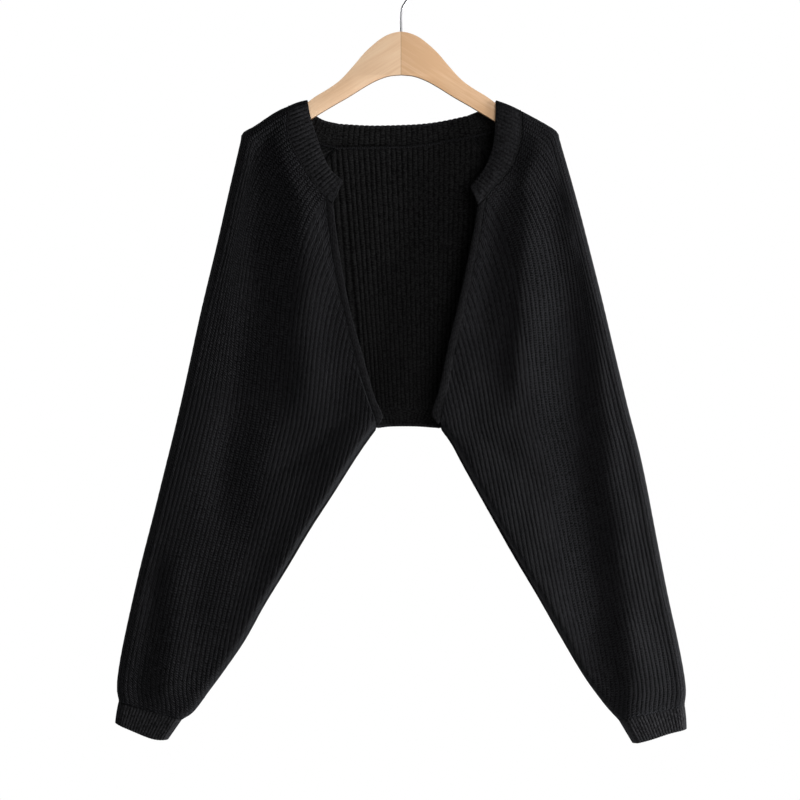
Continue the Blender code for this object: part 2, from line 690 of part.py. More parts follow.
def make_cuff(half):
    """Ribbed cuff, open at the underarm seam and at its mouth."""
    top, bottom = half.paths["cuff_top"], half.paths["cuff_bottom"]
    middle = 2 * CUFF_RIBS
    count = 2 * middle + 1
    marks = plain_marks(count, [middle + side * step for step in FOLD_COLUMNS for side in (-1, 1)])
    outer, inner = [], []
    for number in range(count):
        face = "front" if number <= middle else "back"
        out, ins = [], []
        for step in CUFF_ROWS:
            length = top.length * (1 - step) + bottom.length * step
            cloth = (length - FOLD_REACH + FOLD_CLOTH) * abs(number - middle) / middle
            share = fold_reach(cloth) / length
            upper = top.at(share) + np.array([0, SEAM_GAP])
            spot = upper * (1 - step) + bottom.at(share) * step
            angle = fold_angle(cloth)
            full = from_table(spot[1], DEPTH_ROWS, 1) - CUFF_EASE
            depth = (RIM_HALF + (full - RIM_HALF) * parting((1 - share) * length)) * math.sin(angle)
            inward = direction(180) * math.cos(angle)
            out.append(layer(half, face, spot, depth, inward, math.sin(angle), FINE_RISE * (number % 2)))
            ins.append(layer(half, face, spot, depth, inward, math.sin(angle), -BAND_WALL))
        outer.append(out)
        inner.append(ins)
    finish(sheet_mesh(half.side + "_cuff", outer, inner, marks), "knit")


def make_hanger_wood():
    """Shaped wooden hanger: a flat outline with rounded edges."""
    one_side = (list(Path(WOOD_TOP, 2).line) + list(Path(WOOD_TIP, 2).line)
                + list(Path(WOOD_BOTTOM, 2).line))
    outline = one_side + [np.array([-across, down]) for across, down in one_side[-2:0:-1]]
    curve = bpy.data.curves.new("hanger_wood", "CURVE")
    curve.dimensions = "2D"
    curve.fill_mode = "BOTH"
    curve.extrude = WOOD_THICKNESS / 2 * MM
    spline = curve.splines.new("POLY")
    spline.points.add(len(outline) - 1)
    for point, (across, down) in zip(spline.points, outline):
        point.co = (across * MM, -down * MM, 0, 1)
    spline.use_cyclic_u = True
    drawn = add_object("hanger_wood_outline", curve)
    drawn.rotation_euler = (math.pi / 2, 0, 0)
    bpy.context.view_layer.update()
    seen = drawn.evaluated_get(bpy.context.evaluated_depsgraph_get())
    mesh = bpy.data.meshes.new_from_object(seen)
    item = add_object("hanger_wood", mesh)
    item.matrix_world = drawn.matrix_world
    bpy.data.objects.remove(drawn)
    weld = item.modifiers.new("weld", "WELD")
    weld.merge_threshold = 0.00001
    bevel = item.modifiers.new("rounded edges", "BEVEL")
    bevel.width = WOOD_BEVEL * MM
    bevel.segments = 2
    bevel.limit_method = "ANGLE"
    bevel.angle_limit = math.radians(60)
    finish(item, "wood")


def make_hook():
    """Wire hook: a straight stem, a bend, and a ring open on the wearer's right."""
    stem_foot = WOOD_TOP[0][1] - 0.3
    ring_top = HOOK_RADIUS - WIRE_RADIUS
    route = [(0.0, -stem_foot), (0.0, -STEM_BEND[0])]
    angles = np.radians(np.linspace(HOOK_START, HOOK_END, HOOK_STEPS))
    ring = [(HOOK_RADIUS * math.cos(angle), HOOK_RADIUS * math.sin(angle) - ring_top) for angle in angles]
    bend = Path([(0.0, -STEM_BEND[0]), (2.5, -STEM_BEND[0] + 9), ring[0]], 3).line[1:-1]
    route += [tuple(spot) for spot in bend] + ring
    curve = bpy.data.curves.new("hanger_hook", "CURVE")
    curve.dimensions = "3D"
    curve.bevel_depth = WIRE_RADIUS * MM
    curve.bevel_resolution = 2
    curve.use_fill_caps = True
    spline = curve.splines.new("POLY")
    spline.points.add(len(route) - 1)
    for point, (across, up) in zip(spline.points, route):
        point.co = (across * MM, 0, up * MM, 1)
    finish(add_object("hanger_hook", curve), "steel")


def finish(item, kind):
    """Give an object its own material."""
    colour, roughness, metallic = COLOURS[kind]
    material = bpy.data.materials.new(item.name + "_" + kind)
    material.use_nodes = True
    shader = material.node_tree.nodes["Principled BSDF"]
    shader.inputs["Base Color"].default_value = (*colour, 1)
    shader.inputs["Roughness"].default_value = roughness
    shader.inputs["Metallic"].default_value = metallic
    material.diffuse_color = (*colour, 1)
    item.data.materials.clear()
    item.data.materials.append(material)


def main():
    for item in list(bpy.data.objects):
        bpy.data.objects.remove(item)
    collection = bpy.data.collections.new(COLLECTION)
    bpy.context.scene.collection.children.link(collection)
    halves = {side: Half(side) for side in OUTLINES}
    for half in halves.values():
        make_sleeve(half, "front", "_front_and_sleeve")
        make_sleeve(half, "back", "_sleeve_back")
        make_trim(half)
        make_cuff(half)
    make_neckband(halves)
    make_back(halves)
    make_hem(halves)
    make_hanger_wood()
    make_hook()


main()
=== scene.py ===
"""Looks of the open-front rib knit cardigan on its wooden hanger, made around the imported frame.

The cloth repeats the part's own curves with far finer rows and ribs. +Z is up, +X the wearer's
left and -Y the front. The tables are in millimetres: `across` is measured from the hook's line
towards a sleeve, and `down` from the rail that carries the hook.
"""
import math

import bmesh
import bpy
import numpy as np
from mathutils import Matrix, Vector

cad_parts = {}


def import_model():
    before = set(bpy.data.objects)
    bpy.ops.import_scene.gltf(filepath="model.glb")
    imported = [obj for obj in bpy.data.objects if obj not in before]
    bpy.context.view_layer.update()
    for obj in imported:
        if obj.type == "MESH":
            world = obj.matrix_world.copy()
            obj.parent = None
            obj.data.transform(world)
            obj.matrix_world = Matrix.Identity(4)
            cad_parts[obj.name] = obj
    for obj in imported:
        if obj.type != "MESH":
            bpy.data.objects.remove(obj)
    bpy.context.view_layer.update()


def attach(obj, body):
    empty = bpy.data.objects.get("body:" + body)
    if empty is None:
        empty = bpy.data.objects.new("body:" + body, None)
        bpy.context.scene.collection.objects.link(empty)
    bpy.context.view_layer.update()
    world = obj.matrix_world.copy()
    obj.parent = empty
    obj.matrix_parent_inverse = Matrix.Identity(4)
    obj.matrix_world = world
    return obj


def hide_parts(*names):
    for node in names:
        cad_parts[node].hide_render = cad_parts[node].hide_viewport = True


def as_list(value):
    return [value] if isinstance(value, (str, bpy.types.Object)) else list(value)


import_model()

MM = 0.001

# Cloth
WALL = 3.0
BAND_WALL = 2.3
RIM_HALF = 1.2          # half depth at the underarm seam
RIB_HEIGHT = 0.7        # ridge over groove on the sleeves, bands and cuffs
RIB_BASE = -0.35        # the groove, against the part's plain surface
RIB_POWER = 0.62        # below 1 for broad ribs between narrow grooves
INNER_HEIGHT = 0.8      # ribs on the sleeves' inside
BAND_INNER_HEIGHT = 0.3
BACK_HEIGHT = 1.3
BACK_INNER_BASE = 0.55  # how far inside faces come outward, so that their ribs start from the wall
NECK_INNER_BASE = 0.5
TRIM_HEIGHT = 0.12
TRIM_INNER_HEIGHT = 0.2
HEM_HEIGHT = 0.4
SEAM_GAP = -0.3         # pieces lap over each other a little at a seam, so that no light shows through
RAGLAN_GAP = -1.2
LAYER_GAP = 0.15        # half depth that an inner face keeps at least
BAND_LEAN = 2.4         # how far the neckband's free edge leans in
EDGE_HOLD = 4           # power by which the shoulder's bend fades from the outer edge inward
SEAM_HOLD = 0.08        # share of a rib's upper stretch in which it keeps to its start on the seam
SEAM_SLANT = 0.85       # distance from the slanting underarm seam, for each unit measured across
SEAM_BLEND = 3.8        # distance from that seam over which the two layers part
SEAM_SQUARENESS = 2.0   # the higher, the more sudden
FOLD_BLENDS = {"left": 44.0, "right": 64.0}     # how far from the outer fold ribs still follow it
EDGE_EASE = 1.1         # how far a rib rounds off the shoulder's corner, for each unit of its distance
EASE_STEPS = np.linspace(-1, 1, 9)      # places that the rounding takes the mean of
FOLD_REACH = 10.0       # how far in the outer fold's bend reaches, seen from the front
FOLD_CLOTH = 18.5       # and the cloth that lies in it
CREASE_START = 0.08     # share of the upper stretch over which soft folds grow
CREASE_EASE = 20.0      # cloth beside the outer fold over which they grow too
SLEEVE_WAVES = 1.1      # height of the slow waviness on the sleeves, and on the back
BACK_WAVES = 0.5
WAVE_COUNT = 7          # waves that add up to it
WAVE_LENGTHS = (45, 150)
CUFF_EASE = 1.5         # how much flatter a cuff is than its sleeve
UNDERARM_DIP = 4.0      # how much farther down the innermost rib runs beside the underarm seam
TIP_OVERLAP = 0.8       # how far the neckband's tip laps over the trim
TIP_SLANT = (-1.0, 2.5)
TIP_STEPS = 8
TIP_FADE = 1.2          # ribs over which the relief fades towards the tip
HEM_INSET = 0.004       # share of the hem that is free at each end
RAGLAN_INSET = 0.06     # how far from the raglan seam's widest place the back's outermost ribs end
HEM_SHARE = 0.93        # share of the raglan seam that lies above the hem

# Unevenness of the ribs. Beads are slow swellings along them, a turn out of step from rib to rib
SLEEVE_BEADS = 0.1
BACK_BEADS = 0.08
BEAD_LENGTH = 11.0
BEAD_TURN = 2.1
# How far ribs stray aside, the length of a stray, and its turn from rib to rib
SLEEVE_WANDER = (0.35, 19.0, 1.7)
BACK_WANDER = (0.3, 21.0, 1.9)
# Relief that is left at a rib's ends, and the lengths over which it grows from its top and its bottom
SLEEVE_CALM = (0.35, 7.0, 5.0)
BACK_CALM = (0.4, 6.0, 6.0)

# Ribs, and the fine columns across each of them, as shares of a rib
SLEEVE_WALES = 46
FRONT_BAND_WALES = 24
BACK_BAND_WALES = 14
BACK_SIDE_WALES = 14
BACK_NECK_WALES = 25
BACK_LOST_WALES = 1     # ribs on each side that start at the neck but end before the hem
TRIM_RIBS = 40
CUFF_RIBS = 22
HEM_RIBS = 22
ACROSS_RIB = (0.0, 0.11, 0.29, 0.5, 0.71, 0.89)
UPPER_COUNT = 76        # rows down a sleeve to the underarm's level
LOWER_COUNT = 58        # and from there to the cuff
INNER_STEP = 6          # the inside has one row for this many outside
BACK_COUNT = 84
STITCH = 3.1            # height of one stitch
FULL_PITCH = 4.4        # rib pitch at which a rib has its full height
CHAIN_STEPS = 6         # rings of a seam's cord for each of its stitches
CHAIN_SIDES = 8
CHAIN_THICKNESS = 0.82  # the cord's mean thickness, as a share of the widest, and how it swells and thins
CHAIN_SWELL = 0.18

# Bands: rows across, share of their height over which ribs rise from a part of it, and height of the crown
BAND_ROWS = {"neckband": 13, "hem": 11, "trim": 8, "cuff": 15}
BAND_RISE = {"neckband": 0.12, "hem": 0.15, "trim": 0.3, "cuff": 0.1}
RISE_FROM = 0.3
CROWNS = {"neckband": 0.8, "back_neck": 0.7, "trim": 0.5, "cuff": 0.5}

# Stitches of each seam: pitch, width and height of their cord, and how far it swings from side to side
STITCH_ROWS = {
    "neck": (2.6, 2.0, 1.2, 0.2),
    "linking": (2.4, 3.3, 2.6, 0.2),
    "raglan": (2.7, 1.2, 1.1, 0.5),
    "trim": (2.6, 1.2, 1.1, 0.5),
    "underarm": (2.7, 1.7, 1.1, 0.5),
    "cuff": (2.5, 1.2, 1.1, 0.5),
    "hem": (2.6, 1.3, 1.1, 0.5),
}
SEAM_OUT = {"neck": 0.1, "cuff": 0.1, "raglan": -0.5, "trim": -0.3, "underarm": 0.4}    # out of the cloth
LINKING_PLACE = (0.7, 0.6)      # into the garment and down, from the inside of the neck's seam
HEM_STITCHES = (("hem_stitches", -0.2, 1.0), ("hem_inner_stitches", -2.6, -1.0))    # name, depth, facing
FACES = {"front": -1.0, "back": 1.0}    # which way each face looks along the depth

# Half depth of the garment: down, front, back
DEPTH_ROWS = (
    (170, 12.0, 12.0),
    (240, 13.0, 12.0),
    (330, 16.0, 12.5),
    (430, 18.0, 13.0),
    (560, 16.0, 13.5),
    (720, 15.0, 14.0),
    (860, 14.0, 13.0),
    (960, 12.0, 12.0),
)

# The outlines of each half: across, down
OUTLINES = {
    "left": {
        "shoulder": ((148.8, 183), (171, 195), (189, 205.5), (196.5, 212)),
        "outer": ((198.5, 221), (215.6, 281), (234.8, 354), (253.8, 431), (281, 545), (301.6, 627),
                  (330.4, 775), (344.8, 841), (353, 884), (355.9, 909), (354.3, 926), (354, 955)),
        "inner": ((49.8, 579), (62.5, 597.5), (78.5, 627.5), (107, 679), (138.8, 736), (171, 790.5),
                  (199.6, 841), (228.4, 889.5), (253.8, 924.5), (271.3, 944)),
        "band_seam": ((148.8, 183), (148.5, 213.8), (141, 245), (126, 267.5), (113, 281), (105, 292)),
        "band_edge": ((119.4, 170.5), (118.8, 195.8), (115, 230), (106, 253.8), (98.8, 264.5), (88, 278)),
        "trim_seam": ((105, 294), (98.5, 334), (83, 411), (68.5, 474), (57.5, 530), (52.5, 556),
                      (49.8, 571)),
        "front_edge": ((96, 303), (91, 334), (75, 411), (61, 470), (48, 531), (40, 556), (40.8, 565),
                       (47, 574.5)),
        "back_band_seam": ((148.8, 183), (135, 200), (112, 209), (87.5, 215.5)),
        "back_band_edge": ((119.4, 170.5), (112, 178), (97, 184.5), (83, 190)),
        "raglan": ((87.5, 215.5), (103, 240), (112, 285), (116, 365), (108, 455), (91, 518),
                   (72, 556), (54, 574)),
        "cuff_top": ((354.3, 926), (271.3, 944)),
        "cuff_bottom": ((356.8, 955), (335, 960), (311, 967.5), (288.8, 973)),
    },
    "right": {
        "shoulder": ((140, 177.5), (157, 185.5), (182.5, 202.5), (198, 211.5)),
        "outer": ((200.5, 222), (212, 272), (230, 351), (252.5, 446), (274, 545), (302, 660),
                  (326, 755), (345, 839), (353.8, 889), (354.6, 911), (352.5, 921), (352, 955)),
        "inner": ((30.9, 579), (38.8, 590), (55, 614), (83.8, 660), (112.5, 704.5), (141, 752.5),
                  (170, 800), (195, 845), (220.6, 882.5), (240, 909), (258.8, 934), (273.3, 944)),
        "band_seam": ((140, 177.5), (141, 213.8), (131, 238.8), (115, 265), (103, 281), (94, 292)),
        "band_edge": ((117.8, 170), (113, 195), (101.3, 231), (96.8, 242.5), (88.8, 258), (74, 272)),
        "trim_seam": ((94, 294), (88.5, 345), (80.5, 393), (59.5, 481), (43.5, 537), (35.5, 560),
                      (31.2, 572)),
        "front_edge": ((85.5, 302), (80, 345), (72.5, 392.5), (62.5, 440), (51, 481), (35, 537.5),
                       (25, 561), (24.6, 568), (28.5, 575)),
        "back_band_seam": ((140, 177.5), (127, 205), (104, 222), (81.3, 228.8)),
        "back_band_edge": ((117.8, 170), (112, 185), (98, 195), (78, 200)),
        "raglan": ((81.3, 228.8), (98, 252), (108, 300), (111, 375), (97, 465), (70, 524),
                   (46, 556), (34, 574)),
        "cuff_top": ((352.5, 921), (273.3, 944)),
        "cuff_bottom": ((357, 947.5), (342, 954), (311, 966.5), (290.8, 968.8)),
    },
}
NECK_SEAM = ((-81.3, 228.8), (-43.8, 228.3), (7.5, 227.3), (40, 223.5), (65, 219), (87.5, 215.5))
NECK_EDGE = ((-78, 200), (-43.8, 202), (-17.5, 202), (21.3, 200.5), (50, 197), (83, 190))
HEM_TOP = ((-44.8, 556), (70.8, 556))
HEM_BOTTOM = ((-32.0, 579.4), (-12, 577), (20, 577), (51.0, 579.6))

# Ribs where they start: wale, degrees below level, and the share of their chord that keeps it
RIB_STARTS = {
    "front": ((0, 30, 0.97), (8, 36, 1.04), (16, 44, 1.04), (24, 53, 0.97), (30, 64, 0.91),
              (38, 74, 0.91), (43, 84, 0.78), (46, 88, 0.65)),
    "back": ((0, 30, 1.04), (14, 22, 1.1), (18, 30, 0.78), (24, 50, 0.52), (30, 72, 0.52),
             (36, 86, 0.52), (46, 94, 0.52)),
}
# Their way down at the underarm's level, in degrees
SLEEVE_SLOPES = {
    "front": ((0, 76), (38, 81), (46, 95)),
    "back": ((0, 76), (14, 77), (28, 84), (46, 86)),
}
# Way in from the outer fold, in degrees, from the neck past the shoulder's corner, which is at 1
FOLD_TURN = ((0.0, 92), (0.7, 110), (1.0, 138), (1.7, 166), (7.0, 178))
SHOULDER_TURN = FOLD_TURN[0][1]

# Soft folds: a line of across and down, then depth, and width towards the middle and away from it.
# The main ones follow the part's.
FRONT_FOLDS = {
    "right": (
        (((144, 140), (138, 195), (128, 282), (122, 320), (119, 370), (119, 470), (117, 532), (114, 570),
          (113, 602)), 8.0, 26, 30),
        (((168, 130), (169, 190), (169, 282), (173, 326), (179, 372), (184, 420), (191, 476), (204, 545),
          (214, 607), (221, 670), (229, 760)), -6.5, 34, 22),
        (((14, 450), (24, 530), (56, 596), (90, 650), (122, 705), (150, 752), (178, 800), (202, 850)),
         3.2, 24, 19),
        (((308, 720), (320, 845), (332, 945)), -3.4, 20, 14),
        (((280, 720), (283, 845), (294, 945)), 3.8, 22, 20),
        (((64, 560), (150, 640)), -1.6, 12, 12),
    ),
    "left": (
        (((205, 390), (214, 457), (224, 570), (226, 620), (232, 680), (243, 770), (252, 820), (262, 870),
          (272, 940)), -10.0, 42, 22),
        (((174, 240), (186, 310), (199, 370), (209, 420), (215, 475)), -3.8, 30, 18),
        (((238, 420), (250, 520), (256, 600), (262, 670), (273, 720), (278, 790), (282, 830), (290, 880),
          (298, 945)), 3.6, 18, 24),
        (((158, 180), (158, 320), (156, 370), (152, 420), (148, 480), (146, 590)), 6.2, 16, 32),
        (((70, 570), (93, 627), (121, 679), (153, 736), (185, 790), (213, 841), (240, 890)), 4.5, 14, 40),
        (((262, 800), (276, 850), (284, 890), (288, 950), (292, 1010)), 6.0, 14, 38),
        (((124, 230), (118, 330), (110, 410), (98, 500)), -3.0, 14, 14),
        (((82, 575), (170, 650)), -1.5, 12, 12),
    ),
}
BACK_FOLDS = {
    "right": (
        (((165, 230), (176, 360), (190, 510)), -3.0, 24, 24),
        (((196, 570), (262, 880)), -3.5, 20, 20),
        (((282, 800), (316, 925)), -2.5, 13, 13),
        (((60, 560), (160, 665)), -1.5, 12, 12),
        (((236, 500), (268, 720)), 1.6, 14, 14),
    ),
    "left": (
        (((170, 220), (176, 340), (182, 490)), -3.0, 22, 22),
        (((186, 530), (236, 820)), -3.0, 22, 22),
        (((276, 800), (318, 930)), -2.5, 14, 14),
        (((78, 572), (180, 675)), -1.4, 12, 12),
        (((247, 540), (282, 780)), 1.5, 12, 12),
    ),
}
FOLD_ENDS = 0.2         # share of a fold's length over which each end fades

# Hanger
WOOD_THICKNESS = 12.0
WOOD_BEVEL = 4.5
LEAST_STEP = 0.3        # points of the outline that lie closer than this are left out
WOOD_TOP = ((0, 85), (10, 86.8), (20, 90.8), (30, 97.5), (45, 111), (60, 128.5), (75, 144.8),
            (90, 156), (105, 165), (113.5, 171), (119, 174.8), (140, 186), (165, 198.8), (178, 206))
WOOD_TIP = ((187, 212), (190, 219), (186, 226), (178, 228))
WOOD_BOTTOM = ((150, 214.5), (125, 201.5), (105, 189.5), (85, 177.5), (65, 166), (45, 153.5),
               (30, 145.5), (15, 140.3), (0, 138.8))
WIRE_RADIUS = 1.5
HOOK_RADIUS = 21.5
HOOK_START = -52        # the ring's ends, in degrees up from the wearer's left
HOOK_END = 205
HOOK_STEPS = 48
STEM_BEND = 62.0        # how far down the stem's bend starts
STEM_LEAN = (2.5, 9.0)  # and where its middle lies from there, across and up
STEM_GAP = 0.3          # between the wood's top and the stem's end

# Colours. Each knit: its dark end, in its grooves, which is painted groove shade as well as dark dye, and
# its light end, on its ridges, then the stitches' strength, and relief
KNITS = {
    "black_rib_knit": ((0.0016, 0.0016, 0.0018), (0.0136, 0.0136, 0.0150), 0.60, 1.3),
    # The inside knit is darker than the outside one: painted shade for the garment's shadowed interior
    "black_knit_inside_painted_shade": ((0.0014, 0.0014, 0.0014), (0.0114, 0.0114, 0.0116), 0.25, 1.0),
    "black_band_knit": ((0.0030, 0.0030, 0.0032), (0.0170, 0.0170, 0.0185), 0.08, 0.7),
    "black_edging": ((0.0030, 0.0030, 0.0033), (0.0105, 0.0105, 0.0114), 0.30, 0.6),
    "black_linking_yarn": ((0.0050, 0.0050, 0.0053), (0.0110, 0.0110, 0.0118), 0.10, 0.4),
}
WOOL_SHEEN = (0.72, 0.78, 0.95, 1)
WOOD_COLOURS = ((0.25, (0.66, 0.40, 0.215)), (0.5, (0.82, 0.555, 0.35)), (0.72, (0.90, 0.67, 0.45)))
# Painted shade for the wood's rounded edges, where they turn away from the front and back
WOOD_EDGE_SHADE = (0.20, 0.11, 0.055, 1)
WOOD_JOINT = (0.25, 0.15, 0.08, 1)
JOINT_HALF_WIDTH = 0.0003
WIRE_COLOURS = ((0.3, (0.2, 0.2, 0.21)), (0.7, (0.33, 0.33, 0.34)))

# Stage, in metres
FLOOR_HEIGHT = -1.68
FLOOR_RADIUS = 4.0
ROOM_LIGHT = 0.08       # strength of the room's own soft light; the camera sees the room white
LIGHT_TARGET = (0.0, 0.0, -0.5)
LIGHTS = (
    ("side_right", (1.65, -0.26, -0.85), 0.6, 74.0),
    ("soft_front", (1.25, -1.8, 0.1), 1.5, 31.0),
    ("rim_right_back", (2.4, 1.5, -0.4), 0.8, 30.0),
    ("rim_left_back", (-2.2, 1.2, 0.5), 0.8, 34.0),
)
CAMERA_PLACE = (-0.00125, -4.0, -0.545)
CAMERA_LENS = 144.0


class Path:
    """A smooth flat curve through a table's spots, read by the fraction of its length."""

    def __init__(self, spots, steps=16):
        spots = np.array(spots, float)
        ends = np.vstack([2 * spots[0] - spots[1], spots, 2 * spots[-1] - spots[-2]])
        share = np.arange(1, steps + 1)[:, None] / steps
        line = [spots[:1]]
        for before, start, stop, after in zip(ends, ends[1:], ends[2:], ends[3:]):
            line.append(spline_spots(before, start, stop, after, share))
        self.set_line(np.vstack(line))

    def set_line(self, line):
        self.line = line
        self.run = np.concatenate([[0], np.cumsum(lengths(np.diff(line, axis=0)))])
        self.length = self.run[-1]

    def at(self, fraction):
        return read_rows(np.asarray(fraction) * self.length, self.run, self.line)

    def shifted(self, distance):
        slope = np.gradient(self.line, axis=0)
        slope /= lengths(slope)[:, None]
        side = Path([(0, 0), (1, 0)])
        side.set_line(self.line + distance * np.column_stack([slope[:, 1], -slope[:, 0]]))
        return side


def spline_spots(before, start, stop, after, step):
    """Spots of a Catmull-Rom curve between two of its spots."""
    straight = 0.5 * (stop - before)
    leaving = 0.5 * (after - start)
    cube = 2 * start - 2 * stop + straight + leaving
    square = 3 * (stop - start) - 2 * straight - leaving
    return start + straight * step + square * step ** 2 + cube * step ** 3


def from_table(value, rows, column=1):
    """A column of a table, smoothly between its rows, read at a value of its first column."""
    line = Path([(row[0], row[column]) for row in rows], 8).line
    return np.interp(value, line[:, 0], line[:, 1])


def smoothstep(value):
    value = np.clip(value, 0.0, 1.0)
    return value * value * (3 - 2 * value)


def read_rows(place, places, rows):
    """Rows of numbers at their places, read at others, straight between them."""
    return np.stack([np.interp(place, places, column) for column in rows.T], -1)


def lengths(vectors):
    return np.hypot(*np.moveaxis(vectors, -1, 0))


def pair(across, down):
    return np.stack(np.broadcast_arrays(across, down), -1).astype(float)


def direction(degrees):
    """Unit vector that points outward at 0 degrees, down at 90 and inward at 180."""
    return pair(np.cos(np.radians(degrees)), np.sin(np.radians(degrees)))


def cloth_over(length):
    """Length of the cloth that shows a length from the front, with what the outer fold takes up."""
    return length - FOLD_REACH + FOLD_CLOTH


def fold_angle(cloth):
    return np.minimum(cloth / FOLD_CLOTH, 1.0) * math.pi / 2


def fold_reach(cloth):
    """How far in cloth lies, seen from the front, for the cloth between it and the outer fold."""
    bent = FOLD_REACH * (1 - np.cos(fold_angle(cloth)))
    return np.where(cloth < FOLD_CLOTH, bent, FOLD_REACH + cloth - FOLD_CLOTH)


def parting(distance):
    """Share of the garment's half depth at a distance from the underarm seam."""
    return 1 - np.exp(-(np.maximum(distance, 0) / SEAM_BLEND) ** SEAM_SQUARENESS)


def half_depth(face, down, distance):
    """Half depth at a height and a distance from the underarm seam."""
    full = from_table(down, DEPTH_ROWS, 1 if face == "front" else 2)
    return RIM_HALF + (full - RIM_HALF) * parting(distance)


def fold_rise(side, face, spots):
    """Height of the soft folds at spots of a sleeve."""
    rise = np.zeros(spots.shape[:-1])
    folds = FRONT_FOLDS if face == "front" else BACK_FOLDS
    for line, depth, *widths in folds[side]:
        top, bottom = np.array(line[0], float), np.array(line[-1], float)
        lean = (bottom - top)[1] / lengths(bottom - top)
        middle = from_table(spots[..., 1], [(down, across) for across, down in line])
        share = (spots[..., 1] - top[1]) / (bottom - top)[1]
        ends = smoothstep(share / FOLD_ENDS) * smoothstep((1 - share) / FOLD_ENDS)
        aside = (spots[..., 0] - middle) * lean
        rise += depth * ends * np.exp(-(aside / np.where(aside < 0, *widths)) ** 2)
    return rise


def rib_shape(wale):
    """Round ribs with narrow grooves: 0 in a groove and 1 on a ridge."""
    return np.abs(np.sin(math.pi * np.asarray(wale))) ** RIB_POWER


def unevenness(spots, seed):
    """Slow waviness of hand-hung knit, between -1 and 1."""
    random = np.random.default_rng(seed)
    total = np.zeros(spots.shape[:-1])
    for _ in range(WAVE_COUNT):
        angle, length = random.uniform(0, math.pi), random.uniform(*WAVE_LENGTHS)
        phase = random.uniform(0, 6.3)
        wave = spots @ np.array([math.cos(angle), math.sin(angle)])
        total += np.sin(wave * 2 * math.pi / length + phase)
    return total / 4


def world(spots, depth):
    """World points of spots at a depth behind the garment's middle."""
    return np.stack([spots[..., 0], depth, -spots[..., 1]], -1)


